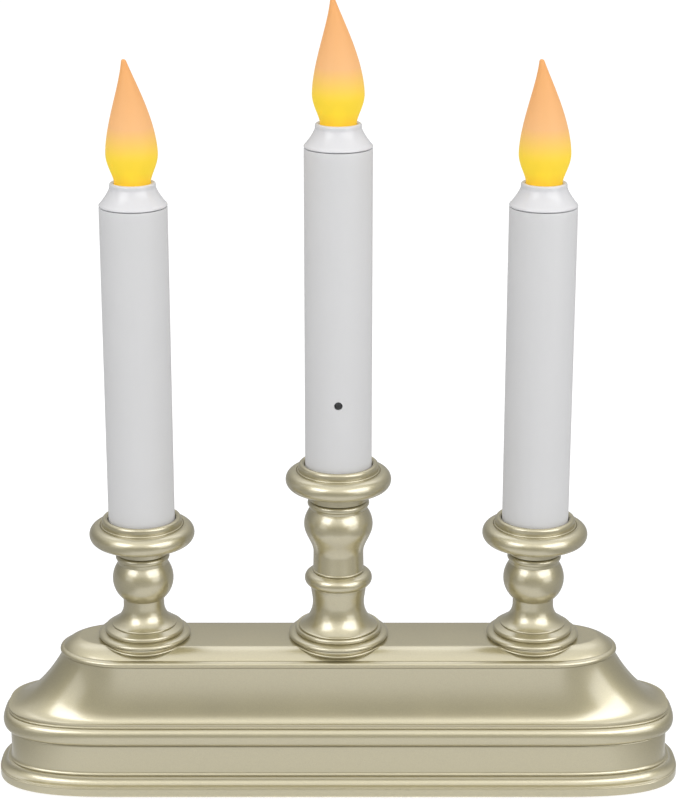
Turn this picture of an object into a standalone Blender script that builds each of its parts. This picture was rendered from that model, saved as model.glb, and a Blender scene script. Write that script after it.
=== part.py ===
# Three-light flameless window candelabra: a moulded base that holds the batteries and the circuit,
# and three turned holders, each with a candle tube, a collar and a lit flame diffuser.
# Metres, +Z up, standing on Z = 0, with the front towards -Y and the flame tips leaning to -X.

from math import cos, pi, radians, sin, sqrt

import bmesh
import bpy
from mathutils import Vector

# Play between pieces
GAP = 0.0003
PLAY = 0.0002

# Base shell, from the table up
FOOT_LIFT = 0.0008
BASE_LENGTH = 0.2528
BASE_DEPTH = 0.0528
PLINTH_CORNER_LENGTH = 0.0458
PLINTH_CORNER_DEPTH = 0.0259
PLINTH_CORNER_POWER = 2.7
PLINTH_BAND = 0.0035
PLINTH_LEDGE = 0.0014
PLINTH_LEDGE_RISE = 0.0004
PLINTH_COVE_DROP = 0.0027
PLINTH_COVE_RUN = 0.0017
PLINTH_COVE_TURN = 50.0
PLINTH_STEP = 0.0040
FASCIA_FILLET = 0.0010
FASCIA_HEIGHT = 0.0110
FASCIA_RECESS = 0.0004
BEAD_HEIGHT = 0.0076
BEAD_BULGE = 0.0021
LIP_HEIGHT = 0.0010
COVE_DROP = 0.0202
COVE_TOP_DEPTH = 0.0356
COVE_RUN_END = 0.0205
COVE_END_HOLLOW = 0.58
COVE_CORNER_LENGTH = 0.0245
COVE_CORNER_POWER = 2.0
LEDGE_THICKNESS = 0.0024
LEDGE_OVERHANG = 0.0008
LEDGE_WIDTH = 0.0021
EDGE_WIDTH = 0.0058
EDGE_SLOPE_TOP = 14.0
EDGE_SLOPE_BOTTOM = 47.0
DECK_END_REACH = 0.0007
END_FLAT = 0.0005
SHELL_WALL = 0.0022
PAD_HEIGHT = 0.0002
PAD_SKIRT = 0.0014
PAD_RIM = 0.0002

# Holders
CANDLE_SPACING = 0.0715
STEM_BORE = 0.0040
SIDE_STEM_HEIGHT = 0.0320
SIDE_FOOT_RADIUS = 0.0169
SIDE_WAIST_RADIUS = 0.0076
SIDE_BULB_RADIUS = 0.0113
SIDE_NECK_RADIUS = 0.0098
CENTRE_STEM_HEIGHT = 0.0528
CENTRE_FOOT_RADIUS = 0.0183
CENTRE_WAIST_RADIUS = 0.0098
CENTRE_BULB_RADIUS = 0.0125
CENTRE_NECK_RADIUS = 0.0112
UPPER_WAIST_RADIUS = 0.0091
MID_BEAD_RADIUS = 0.0123
MID_BEAD_THICKNESS = 0.0052
MID_BEAD_HEIGHT = 0.0224
FOOT_BAND = 0.0020
FOOT_SPREAD = 0.0008
FOOT_BEAD_THICKNESS = 0.0017
FOOT_RING_THICKNESS = 0.0007
FLARE_HEIGHT = 0.0069
FLARE_EASE = 1.5
BULB_BELOW_TOP = 0.0095
BULB_UPPER_LENGTH = 0.0106
BULB_LOWER_LENGTH = 0.0108
BULB_TOP_ANGLE = 35.0
NECK_RING_THICKNESS = 0.0026

# Drip cups
CUP_NECK_HEIGHT = 0.0074
CUP_RING_RADIUS = 0.0191
CUP_RING_THICKNESS = 0.0069
CUP_BEAD_WIDTH = 0.0022
CUP_BEAD_RISE = 0.0063
CUP_FLOOR = 0.0060
SPIGOT_RADIUS = 0.0062
SPIGOT_LENGTH = 0.0040

# Candles
TUBE_RADIUS = 0.0120
TUBE_WALL = 0.0012
TUBE_LENGTH = 0.1223
COLLAR_HEIGHT = 0.0083
COLLAR_TOP_RADIUS = 0.0081
COLLAR_LIP = 0.0016
COLLAR_SHOULDER = 0.0010
COLLAR_BORE = 0.0066
COLLAR_LEDGE = 0.0016
COLLAR_PLUG_LENGTH = 0.0050
SEAT_DEPTH = 0.0070
SEAT_THICKNESS = 0.0025
FLAME_HEIGHT = 0.0428
FLAME_RADIUS = 0.0091
FLAME_WALL = 0.0015
FLAME_LEAN = 0.0020
LED_RADIUS = 0.0025
LED_HEIGHT = 0.0086
LED_FLANGE = 0.0004
LED_FLANGE_HEIGHT = 0.0010
LED_LEG_RADIUS = 0.0009
SENSOR_HEIGHT = 0.0311
SENSOR_RADIUS = 0.0013
SENSOR_FLANGE = 0.0008
SENSOR_DEPTH = 0.0030

# Underside and battery well, for three C cells in a row
PLATE_RECESS = 0.0012
PLATE_THICKNESS = 0.0020
REBATE_WIDTH = 0.0026
CELL_DIAMETER = 0.0262
CELL_LENGTH = 0.0500
CELL_COUNT = 3
CELL_NUB_RADIUS = 0.0030
CELL_NUB_HEIGHT = 0.0015
CELL_EDGE = 0.0008
CELL_PLAY = 0.0006
WELL_WALL = 0.0022
SPRING_LENGTH = 0.0060
SPRING_WIRE = 0.0005
SPRING_TURNS = 3
CONTACT_WIDTH = 0.0160
CONTACT_THICKNESS = 0.0005
DOOR_THICKNESS = 0.0018
DOOR_FINGER_RADIUS = 0.0060
RUBBER_RADIUS = 0.0040
RUBBER_END_INSET = 0.0164
RUBBER_SIDE_INSET = 0.0174

# Screws
SCREW_RADIUS = 0.0013
SCREW_HEAD_RADIUS = 0.0025
SCREW_HEAD_HEIGHT = 0.0013
BOSS_RADIUS = 0.0031
BOSS_FUSION = 0.0008
BOSS_CLEARANCE = 0.0020
PLATE_SCREW_LENGTH = 0.0100
STEM_SCREW_OFFSET = 0.0080
STEM_SCREW_LENGTH = 0.0085

# Circuit and switch
BOARD_LENGTH = 0.0440
BOARD_DEPTH = 0.0160
BOARD_THICKNESS = 0.0012
BOARD_STANDOFF = 0.0028
BOARD_SCREW_INSET = 0.0032
BOARD_MARGIN = 0.0010
BOARD_SCREW_LENGTH = 0.0042
CHIP_LENGTH = 0.0060
CHIP_DEPTH = 0.0042
CHIP_HEIGHT = 0.0016
CAPACITOR_RADIUS = 0.0025
CAPACITOR_HEIGHT = 0.0070
LEAD_RADIUS = 0.0007
LEAD_HOLE = 0.0016
LEAD_LANDING = 0.0040
SWITCH_END_INSET = 0.0224
SWITCH_LENGTH = 0.0120
SWITCH_DEPTH = 0.0064
SWITCH_HEIGHT = 0.0050
SLIDER_LENGTH = 0.0030
SLIDER_DEPTH = 0.0026
SLIDER_TRAVEL = 0.0040
KNOB_DEPTH = 0.0038
KNOB_HEIGHT = 0.0010

# Fineness of round shapes
TURN_STEPS = 18
SMALL_STEPS = 8
CORNER_STEPS = 6
ARC_STEPS = 3

# Heights worked out from the sizes above
rim_z = FOOT_LIFT
band_z = rim_z + PLINTH_BAND
plinth_top = band_z + PLINTH_LEDGE_RISE + PLINTH_COVE_DROP
fascia_z = plinth_top + FASCIA_FILLET
bead_z = fascia_z + FASCIA_HEIGHT
lip_z = bead_z + BEAD_HEIGHT
cove_z = lip_z + LIP_HEIGHT
ledge_z = cove_z + COVE_DROP
groove_z = ledge_z + LEDGE_THICKNESS
edge_radius = EDGE_WIDTH / (sin(radians(EDGE_SLOPE_BOTTOM)) - sin(radians(EDGE_SLOPE_TOP)))
deck_z = groove_z + edge_radius * (cos(radians(EDGE_SLOPE_TOP)) - cos(radians(EDGE_SLOPE_BOTTOM)))
ceiling_z = deck_z - SHELL_WALL
foot_z = deck_z + PAD_HEIGHT + GAP
plate_z = rim_z + PLATE_RECESS
plate_top = plate_z + PLATE_THICKNESS
door_top = plate_z + DOOR_THICKNESS
well_top = door_top + GAP + CELL_DIAMETER + CELL_PLAY
well_roof = well_top + WELL_WALL
board_z = well_roof + BOARD_STANDOFF + GAP
board_top = board_z + BOARD_THICKNESS

# Places along and across the base
well_half_length = (CELL_COUNT * (CELL_LENGTH + GAP) + SPRING_LENGTH) / 2 + CONTACT_THICKNESS + 2 * GAP
well_half_depth = CELL_DIAMETER / 2 + CELL_PLAY
fascia_inset = PLINTH_STEP + FASCIA_RECESS
cove_run_front = (BASE_DEPTH - COVE_TOP_DEPTH) / 2 - PLINTH_STEP
plate_screw_x = well_half_length + WELL_WALL + BOSS_RADIUS + BOSS_CLEARANCE
plate_screw_y = BASE_DEPTH / 2 - fascia_inset - SHELL_WALL + BOSS_FUSION - BOSS_RADIUS
switch_x = BASE_LENGTH / 2 - SWITCH_END_INSET
rubber_x = BASE_LENGTH / 2 - RUBBER_END_INSET
rubber_y = BASE_DEPTH / 2 - RUBBER_SIDE_INSET

# Colours: linear RGB, roughness, metallic
CHAMPAGNE = ((0.52, 0.47, 0.32), 0.34, 0.75)
WHITE_WAX = ((0.68, 0.68, 0.69), 0.45, 0.0)
WHITE_GLOSS = ((0.72, 0.72, 0.73), 0.18, 0.0)
FLAME_AMBER = ((0.90, 0.46, 0.14), 0.40, 0.0)
CLEAR_LENS = ((0.90, 0.75, 0.35), 0.10, 0.0)
BLACK_PLASTIC = ((0.015, 0.015, 0.016), 0.40, 0.0)
GREY_PLASTIC = ((0.25, 0.25, 0.24), 0.50, 0.0)
RUBBER = ((0.03, 0.03, 0.03), 0.80, 0.0)
STEEL = ((0.55, 0.55, 0.56), 0.30, 1.0)
CELL_JACKET = ((0.06, 0.06, 0.07), 0.35, 0.0)
BOARD_GREEN = ((0.03, 0.16, 0.06), 0.45, 0.0)
RED_LEAD = ((0.35, 0.02, 0.02), 0.45, 0.0)
BLACK_LEAD = ((0.02, 0.02, 0.02), 0.45, 0.0)

for leftover in list(bpy.data.objects):
    bpy.data.objects.remove(leftover)

candelabra = bpy.data.collections.new("candelabra")
cutters = bpy.data.collections.new("cutters")
bpy.context.scene.collection.children.link(candelabra)
bpy.context.scene.collection.children.link(cutters)


def finish(name, colour):
    tint, roughness, metallic = colour
    material = bpy.data.materials.new(name + "_finish")
    material.use_nodes = True
    shader = material.node_tree.nodes["Principled BSDF"]
    shader.inputs["Base Color"].default_value = (*tint, 1.0)
    shader.inputs["Roughness"].default_value = roughness
    shader.inputs["Metallic"].default_value = metallic
    return material


def add_object(name, data, colour):
    piece = bpy.data.objects.new(name, data)
    if colour is None:
        cutters.objects.link(piece)
        piece.hide_render = True
        piece.display_type = "WIRE"
    else:
        candelabra.objects.link(piece)
        data.materials.append(finish(name, colour))
    return piece


def mesh_object(name, bm, colour, smooth_angle=40.0):
    mesh = bpy.data.meshes.new(name)
    bm.to_mesh(mesh)
    bm.free()
    mesh.shade_smooth()
    mesh.set_sharp_from_angle(angle=radians(smooth_angle))
    return add_object(name, mesh, colour)


def block(name, low, high, colour):
    bm = bmesh.new()
    bmesh.ops.create_cube(bm, size=1.0)
    for vert in bm.verts:
        vert.co = Vector(low[i] + (vert.co[i] + 0.5) * (high[i] - low[i]) for i in range(3))
    return mesh_object(name, bm, colour)


def rod(name, x, y, radius, low, high, colour, sides=SMALL_STEPS):
    bm = bmesh.new()
    bmesh.ops.create_cone(
        bm, cap_ends=True, segments=sides, radius1=radius, radius2=radius, depth=high - low
    )
    bmesh.ops.translate(bm, vec=(x, y, (low + high) / 2), verts=bm.verts)
    return mesh_object(name, bm, colour)


def arc(centre, radii, start, end, steps=ARC_STEPS):
    # Points of an elliptical arc in (radius, height); 0 degrees is outwards and 90 is up
    angles = [radians(start + (end - start) * i / steps) for i in range(steps + 1)]
    return [(centre[0] + radii[0] * cos(a), centre[1] + radii[1] * sin(a)) for a in angles]


def turned(name, profile, place, colour, steps=TURN_STEPS, closed=True):
    # The profile runs down the outer side and back up the bore, or ends on the axis
    mesh = bpy.data.meshes.new(name)
    count = len(profile)
    edges = [(i, (i + 1) % count) for i in range(count if closed else count - 1)]
    mesh.from_pydata([(r, 0.0, z) for r, z in profile], edges, [])
    piece = add_object(name, mesh, colour)
    piece.location = place
    turn = piece.modifiers.new("Turn", "SCREW")
    turn.axis = "Z"
    turn.angle = 2 * pi
    turn.steps = steps
    turn.render_steps = steps
    turn.use_merge_vertices = True
    turn.merge_threshold = 0.00001
    turn.use_smooth_shade = True
    return piece


def loft(name, rings, colour):
    # Skins rings of equal length, in order, and caps the first and the last
    bm = bmesh.new()
    levels = [[bm.verts.new(point) for point in ring] for ring in rings]
    for upper, lower in zip(levels, levels[1:]):
        count = len(upper)
        for i in range(count):
            j = (i + 1) % count
            bm.faces.new((upper[i], upper[j], lower[j], lower[i]))
    bm.faces.new(levels[0])
    bm.faces.new(levels[-1])
    bmesh.ops.recalc_face_normals(bm, faces=bm.faces)
    return mesh_object(name, bm, colour)


def combine(piece, tool, operation="DIFFERENCE"):
    step = piece.modifiers.new(operation.title(), "BOOLEAN")
    step.operation = operation
    step.object = tool


def tube_along(name, points, radius, colour):
    curve = bpy.data.curves.new(name, "CURVE")
    curve.dimensions = "3D"
    curve.bevel_depth = radius
    curve.bevel_resolution = 2
    curve.use_fill_caps = True
    spline = curve.splines.new("POLY")
    spline.points.add(len(points) - 1)
    for target, point in zip(spline.points, points):
        target.co = (*point, 1.0)
    return add_object(name, curve, colour)


def smooth_route(points, steps=4):
    # Catmull-Rom curve through the route's own points
    ends = [2 * Vector(points[0]) - Vector(points[1])]
    ends += [Vector(p) for p in points]
    ends += [2 * ends[-1] - ends[-2]]
    route = []
    for a, b, c, d in zip(ends, ends[1:], ends[2:], ends[3:]):
        for i in range(steps):
            t = i / steps
            route.append(
                0.5 * (2 * b + (c - a) * t + (2 * a - 5 * b + 4 * c - d) * t**2
                       + (3 * b - a - 3 * c + d) * t**3)
            )
    return route + [ends[-2]]


def blend(a, b, share):
    return a + (b - a) * share


def rounded_outline(half_length, half_depth, corner_length, corner_depth, power, z):
    # Rounded rectangle, anticlockwise seen from above; corners are elliptical at power 2, squarer above
    corner_depth = min(corner_depth, half_depth - END_FLAT)
    cx = half_length - corner_length
    cy = half_depth - corner_depth
    points = []
    for quarter, (sx, sy) in enumerate(((1, 1), (-1, 1), (-1, -1), (1, -1))):
        for i in range(CORNER_STEPS + 1):
            a = radians(90.0) * (quarter + i / CORNER_STEPS)
            x = cx + corner_length * abs(cos(a)) ** (2 / power)
            y = cy + corner_depth * abs(sin(a)) ** (2 / power)
            points.append((sx * x, sy * y, z))
    return points


def lower_outline(inset, z):
    # Outline of the plinth, fascia, bead and lip, measured in from the plinth's face
    return rounded_outline(
        BASE_LENGTH / 2 - inset,
        BASE_DEPTH / 2 - inset,
        PLINTH_CORNER_LENGTH - inset,
        PLINTH_CORNER_DEPTH - inset,
        PLINTH_CORNER_POWER,
        z,
    )


def cove_outline(front_share, end_share, inset, z):
    # Shares of the cove's run at the front and at the ends: 0 is the top of the cove and 1 is its lip
    front = PLINTH_STEP + cove_run_front * (1 - front_share) + inset
    end = PLINTH_STEP + COVE_RUN_END * (1 - end_share) + inset
    corner_length = blend(COVE_CORNER_LENGTH, PLINTH_CORNER_LENGTH - PLINTH_STEP, end_share) - inset
    top_corner = COVE_TOP_DEPTH / 2 - END_FLAT
    corner_depth = blend(top_corner, PLINTH_CORNER_DEPTH - PLINTH_STEP, end_share) - inset
    power = blend(COVE_CORNER_POWER, PLINTH_CORNER_POWER, end_share)
    return rounded_outline(
        BASE_LENGTH / 2 - end, BASE_DEPTH / 2 - front, corner_length, corner_depth, power, z
    )


def cove_points(steps):
    # Front share, end share and height along the cove, upright at the top and level at the lip
    angles = [radians(90.0 * i / steps) for i in range(steps + 1)]
    return [(1 - cos(a), (1 - cos(a)) ** COVE_END_HOLLOW, ledge_z - COVE_DROP * sin(a)) for a in angles]


def deck_rings(groove_in):
    # The deck's sloping edge, from the flat deck down to the groove
    rings = []
    for r, z in arc((0.0, 0.0), (edge_radius, edge_radius), 90 - EDGE_SLOPE_TOP, 90 - EDGE_SLOPE_BOTTOM):
        out = r - edge_radius * sin(radians(EDGE_SLOPE_TOP))
        height = deck_z - edge_radius * cos(radians(EDGE_SLOPE_TOP)) + z
        end_share = DECK_END_REACH / COVE_RUN_END
        rings.append(cove_outline(0.0, end_share, groove_in + EDGE_WIDTH - out, height))
    return rings


def shell_rings():
    ledge_out = -LEDGE_OVERHANG
    groove_in = LEDGE_WIDTH - LEDGE_OVERHANG
    rings = deck_rings(groove_in)
    ledge_half = LEDGE_THICKNESS / 2
    for r, z in arc((0.0, ledge_z + ledge_half), (ledge_half, ledge_half), 90, -90):
        rings.append(cove_outline(0.0, 0.0, ledge_out + ledge_half - r, z))
    cove = cove_points(6)
    rings += [cove_outline(front, end, 0.0, z) for front, end, z in cove]
    rings.append(lower_outline(PLINTH_STEP, lip_z))
    bead_half = BEAD_HEIGHT / 2
    for r, z in arc((0.0, bead_z + bead_half), (BEAD_BULGE, bead_half), 80, -80, ARC_STEPS + 1):
        rings.append(lower_outline(PLINTH_STEP - r, z))
    rings.append(lower_outline(fascia_inset, bead_z))
    rings.append(lower_outline(fascia_inset, fascia_z))
    rings.append(lower_outline(PLINTH_STEP, plinth_top))
    turn = radians(PLINTH_COVE_TURN)
    radii = (PLINTH_COVE_RUN / (1 - cos(turn)), PLINTH_COVE_DROP / sin(turn))
    centre = PLINTH_LEDGE + PLINTH_COVE_RUN - radii[0]
    for r, z in arc((0.0, plinth_top), radii, 180, 180 + PLINTH_COVE_TURN):
        rings.append(lower_outline(centre - r, z))
    rings.append(lower_outline(0.0, band_z))
    rings.append(lower_outline(0.0, rim_z))
    seat_z = plate_top + GAP
    rings.append(lower_outline(SHELL_WALL, rim_z))
    rings.append(lower_outline(SHELL_WALL, seat_z))
    rings.append(lower_outline(SHELL_WALL + REBATE_WIDTH, seat_z))
    rings.append(lower_outline(fascia_inset + SHELL_WALL, fascia_z))
    rings += [
        cove_outline(front, end, SHELL_WALL, z - SHELL_WALL) for front, end, z in reversed(cove[::2])
    ]
    rings.append(cove_outline(0.0, 0.0, groove_in + SHELL_WALL, ledge_z + ledge_half))
    rings.append(cove_outline(0.0, 0.0, groove_in + EDGE_WIDTH, ceiling_z))
    return rings


def candle_places():
    yield "left", -CANDLE_SPACING, SIDE_STEM_HEIGHT
    yield "centre", 0.0, CENTRE_STEM_HEIGHT
    yield "right", CANDLE_SPACING, SIDE_STEM_HEIGHT


def foot_radius(side):
    return CENTRE_FOOT_RADIUS if side == "centre" else SIDE_FOOT_RADIUS


def neck_radius(side):
    return CENTRE_NECK_RADIUS if side == "centre" else SIDE_NECK_RADIUS


def stem_screw_places(x):
    return [x - STEM_SCREW_OFFSET, x + STEM_SCREW_OFFSET]


def plate_screw_places():
    return [(sx * plate_screw_x, sy * plate_screw_y) for sx in (-1, 1) for sy in (-1, 1)]


def rubber_places():
    return [(sx * rubber_x, sy * rubber_y) for sx in (-1, 1) for sy in (-1, 1)]


def board_screw_places():
    reach = BOARD_LENGTH / 2 - BOARD_SCREW_INSET
    return [-reach, reach]


def make_shell():
    shell = loft("base_shell", shell_rings(), CHAMPAGNE)
    for side, x, _ in candle_places():
        radius = foot_radius(side) + PAD_RIM
        low = deck_z - PAD_SKIRT
        pad = rod("pad_" + side, x, 0.0, radius, low, deck_z + PAD_HEIGHT, None, 24)
        combine(shell, pad, "UNION")
    for i, (x, y) in enumerate(plate_screw_places()):
        low = plate_top + GAP
        combine(shell, rod(f"boss_{i}", x, y, BOSS_RADIUS, low, bead_z, None), "UNION")
        depth = plate_z + PLATE_SCREW_LENGTH + GAP
        hole = rod(f"boss_hole_{i}", x, y, SCREW_RADIUS + PLAY, low - GAP, depth, None)
        combine(shell, hole)
    for side, x, _ in candle_places():
        low = groove_z - 2 * SHELL_WALL
        high = foot_z + GAP
        combine(shell, rod("wire_hole_" + side, x, 0.0, STEM_BORE, low, high, None))
        for i, screw_x in enumerate(stem_screw_places(x)):
            hole = rod(f"deck_hole_{side}_{i}", screw_x, 0.0, SCREW_RADIUS + PLAY, low, high, None)
            combine(shell, hole)
    return shell


def ease_down(top, bottom, steps, ease=1.0):
    # Soft S from one radius at the top to another at the bottom, in (radius, height)
    points = []
    for i in range(steps + 1):
        share = i / steps
        radius = bottom[0] + (top[0] - bottom[0]) * (1 + cos(pi * share**ease)) / 2
        points.append((radius, blend(top[1], bottom[1], share)))
    return points


def foot_profile(radius, waist):
    # Flare from the waist, thin ring, bead and spreading band, down to the foot's underside
    bead = FOOT_BEAD_THICKNESS / 2
    bead_at = (radius - FOOT_SPREAD - bead, FOOT_BAND + bead)
    ring = FOOT_RING_THICKNESS / 2
    ring_at = (bead_at[0] - ring, FOOT_BAND + FOOT_BEAD_THICKNESS + ring)
    flare_z = ring_at[1] + ring
    points = ease_down((waist, flare_z + FLARE_HEIGHT), (ring_at[0] - ring, flare_z), 6, FLARE_EASE)
    points += arc(ring_at, (ring, ring), 60, -60, 2)
    points += arc(bead_at, (bead, bead), 60, -60)
    points += arc((radius - FOOT_SPREAD, 0.0), (FOOT_SPREAD, FOOT_BAND), 75, 0)
    return points


def stem_profile(side, height):
    neck = neck_radius(side)
    ring = NECK_RING_THICKNESS / 2
    bulb = CENTRE_BULB_RADIUS if side == "centre" else SIDE_BULB_RADIUS
    waist = CENTRE_WAIST_RADIUS if side == "centre" else SIDE_WAIST_RADIUS
    bulb_z = height - BULB_BELOW_TOP
    points = arc((neck - ring, height - ring), (ring, ring), 90, -60)
    points += arc((0.0, bulb_z), (bulb, BULB_UPPER_LENGTH), BULB_TOP_ANGLE, BULB_TOP_ANGLE / 2, 1)
    slim = UPPER_WAIST_RADIUS if side == "centre" else waist
    points += ease_down((bulb, bulb_z), (slim, bulb_z - BULB_LOWER_LENGTH), 5)
    if side == "centre":
        half = MID_BEAD_THICKNESS / 2
        core = MID_BEAD_RADIUS - half
        points += [(slim, MID_BEAD_HEIGHT + half * 1.2)]
        points += arc((core, MID_BEAD_HEIGHT), (half, half), 75, -60, 4)
    points += foot_profile(foot_radius(side), waist)
    socket = SPIGOT_RADIUS + PLAY
    depth = height - SPIGOT_LENGTH - GAP
    return points + [(STEM_BORE, 0.0), (STEM_BORE, depth), (socket, depth), (socket, height)]


def make_stem(side, x, height):
    stem = turned("stem_" + side, stem_profile(side, height), (x, 0.0, foot_z), CHAMPAGNE)
    for i, screw_x in enumerate(stem_screw_places(x)):
        high = foot_z + STEM_SCREW_LENGTH - SHELL_WALL
        combine(stem, rod(f"foot_hole_{side}_{i}", screw_x, 0.0, SCREW_RADIUS + PLAY,
                          foot_z - GAP, high, None))


def cup_profile(side):
    neck = neck_radius(side) - GAP
    ring = CUP_RING_THICKNESS / 2
    ring_z = CUP_NECK_HEIGHT
    core = CUP_RING_RADIUS - ring
    bore = TUBE_RADIUS + PLAY
    bead = CUP_BEAD_WIDTH / 2
    bead_top = ring_z + CUP_BEAD_RISE
    groove = (bore + CUP_BEAD_WIDTH, ring_z + ring * 0.82)
    points = arc((bore + bead, bead_top - bead), (bead, bead), 150, 0)
    points += [groove]
    points += arc((core, ring_z), (ring, ring), 110, -70, 6)
    points += [(neck + ring / 3, ring_z - ring), (neck, ring_z - ring * 1.4), (neck, 0.0)]
    points += [(SPIGOT_RADIUS, 0.0), (SPIGOT_RADIUS, -SPIGOT_LENGTH), (STEM_BORE, -SPIGOT_LENGTH)]
    return points + [(STEM_BORE, CUP_FLOOR), (bore, CUP_FLOOR)]


def collar_profile():
    # Shoulder, hollow taper, short neck and rounded lip, then down the bore and the plug
    bend = COLLAR_SHOULDER
    taper_top = COLLAR_HEIGHT - COLLAR_LIP
    points = [(COLLAR_BORE, COLLAR_HEIGHT)]
    lip = (COLLAR_TOP_RADIUS - COLLAR_BORE) / 2
    points += arc((COLLAR_TOP_RADIUS - lip, COLLAR_HEIGHT - lip), (lip, lip), 90, 0, 3)
    points += [
        (blend(COLLAR_TOP_RADIUS, TUBE_RADIUS - bend / 2, share**1.35),
         blend(taper_top, bend, share))
        for share in (0.0, 0.5, 1.0)
    ]
    points += [(TUBE_RADIUS, bend * 0.4), (TUBE_RADIUS, 0.0)]
    plug = TUBE_RADIUS - TUBE_WALL - PLAY
    ledge = COLLAR_BORE - COLLAR_LEDGE
    seat = COLLAR_HEIGHT - SEAT_DEPTH
    points += [(plug, 0.0), (plug, -COLLAR_PLUG_LENGTH), (ledge, -COLLAR_PLUG_LENGTH)]
    return points + [(ledge, seat), (COLLAR_BORE, seat)]


def flame_radius(share):
    # Slim waist at the collar, full belly a quarter of the way up, then a long taper to the tip
    belly = 0.235
    waist = 0.70
    if share < belly:
        return FLAME_RADIUS * blend(waist, 1.0, sin(radians(90) * share / belly) ** 1.5)
    rise = (share - belly) / (1 - belly)
    return FLAME_RADIUS * (cos(radians(90) * rise**0.85) + 0.08 * rise**6)


def flame_ring(radius, height, share):
    sides = 16
    shift = -FLAME_LEAN * max(share, 0.0) ** 3.2
    turns = [2 * pi * i / sides for i in range(sides)]
    return [(shift + radius * cos(a), radius * sin(a), height) for a in turns]


def make_flame(side, x, collar_top):
    plug = COLLAR_BORE - PLAY
    plug_z = SEAT_THICKNESS - SEAT_DEPTH + 2 * GAP
    shares = [1.0, 0.95, 0.86, 0.75, 0.63, 0.50, 0.37, 0.235, 0.14, 0.05]
    rings = [flame_ring(flame_radius(s), FLAME_HEIGHT * s, s) for s in shares]
    rings += [flame_ring(min(plug, flame_radius(0.0)), z, 0.0) for z in (0.0, plug_z)]
    inside = [0.05, 0.235, 0.50]
    bore = flame_radius(0.0) - FLAME_WALL
    rings.append(flame_ring(bore, plug_z, 0.0))
    rings += [flame_ring(flame_radius(s) - FLAME_WALL, FLAME_HEIGHT * s, s) for s in inside]
    flame = loft("flame_" + side, rings, FLAME_AMBER)
    flame.location = (x, 0.0, collar_top)


def make_light(side, x, collar_top):
    seat_z = collar_top - SEAT_DEPTH + GAP
    seat_top = seat_z + SEAT_THICKNESS
    hole = LED_LEG_RADIUS + PLAY
    rim = COLLAR_BORE - PLAY
    profile = [(hole, SEAT_THICKNESS), (rim, SEAT_THICKNESS), (rim, 0.0), (hole, 0.0)]
    turned("led_seat_" + side, profile, (x, 0.0, seat_z), BLACK_PLASTIC, 16)
    flange = LED_RADIUS + LED_FLANGE
    profile = arc((0.0, LED_HEIGHT - LED_RADIUS), (LED_RADIUS, LED_RADIUS), 90, 0, 3)
    profile += [(LED_RADIUS, LED_FLANGE_HEIGHT), (flange, LED_FLANGE_HEIGHT), (flange, 0.0)]
    leg = SEAT_THICKNESS + 4 * GAP
    profile += [(LED_LEG_RADIUS, 0.0), (LED_LEG_RADIUS, -leg), (0.0, -leg)]
    turned("led_" + side, profile, (x, 0.0, seat_top + GAP), CLEAR_LENS, SMALL_STEPS, False)
    return seat_top - leg


def make_candle(side, x, stem_height):
    cup_z = foot_z + stem_height + GAP
    turned("cup_" + side, cup_profile(side), (x, 0.0, cup_z), CHAMPAGNE)
    tube_z = cup_z + CUP_FLOOR + GAP
    inner = TUBE_RADIUS - TUBE_WALL
    profile = [(inner, TUBE_LENGTH), (TUBE_RADIUS, TUBE_LENGTH), (TUBE_RADIUS, 0.0), (inner, 0.0)]
    tube = turned("tube_" + side, profile, (x, 0.0, tube_z), WHITE_WAX, 28)
    collar_z = tube_z + TUBE_LENGTH + GAP
    turned("collar_" + side, collar_profile(), (x, 0.0, collar_z), WHITE_GLOSS)
    collar_top = collar_z + COLLAR_HEIGHT
    make_flame(side, x, collar_top)
    lead_top = make_light(side, x, collar_top) - GAP
    if side == "centre":
        make_sensor(tube, cup_z + CUP_NECK_HEIGHT + SENSOR_HEIGHT)
    return lead_top


def make_sensor(tube, z):
    # The sensor's nose fills the hole in the tube, and its flange bears on the inner wall
    inner = TUBE_RADIUS - TUBE_WALL
    hole = rod("sensor_hole", 0.0, 0.0, SENSOR_RADIUS + PLAY, inner - TUBE_WALL,
               TUBE_RADIUS + TUBE_WALL, None)
    hole.rotation_euler = (radians(90), 0.0, 0.0)
    hole.location = (0.0, 0.0, z)
    combine(tube, hole)
    flange = SENSOR_RADIUS + SENSOR_FLANGE
    flange_front = sqrt(inner**2 - flange**2) - GAP
    back = flange_front - SENSOR_DEPTH
    profile = arc((0.0, TUBE_RADIUS - SENSOR_RADIUS / 2), (SENSOR_RADIUS, SENSOR_RADIUS / 2), 90, 0, 3)
    profile += [(SENSOR_RADIUS, flange_front), (flange, flange_front), (flange, back), (0.0, back)]
    sensor = turned("light_sensor", profile, (0.0, 0.0, z), BLACK_PLASTIC, SMALL_STEPS, False)
    sensor.rotation_euler = (radians(90), 0.0, 0.0)
    down = back - GAP - LEAD_RADIUS
    bend = STEM_BORE / 2
    cup_z = foot_z + CENTRE_STEM_HEIGHT
    route = [(0.0, -down, z + flange / 2), (0.0, -down, blend(cup_z, z, 0.5))]
    route += [(-bend, -bend / 2, cup_z), (-bend, -bend / 2, foot_z)]
    route += landing(-BOARD_LENGTH * 0.13, -bend / 2)
    tube_along("sensor_lead", smooth_route(route, 2), LEAD_RADIUS, BLACK_LEAD)


def screw(name, x, y, head_z, length, colour=STEEL):
    # Pan head facing down, shank running up
    profile = [(0.0, length), (SCREW_RADIUS * 0.5, length)]
    profile += [(SCREW_RADIUS, length - SCREW_RADIUS), (SCREW_RADIUS, 0.0), (SCREW_HEAD_RADIUS, 0.0)]
    profile += arc((0.0, -SCREW_HEAD_HEIGHT * 0.4), (SCREW_HEAD_RADIUS, SCREW_HEAD_HEIGHT * 0.6), 0, -90, 2)
    return turned(name, profile, (x, y, head_z), colour, SMALL_STEPS, False)


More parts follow.
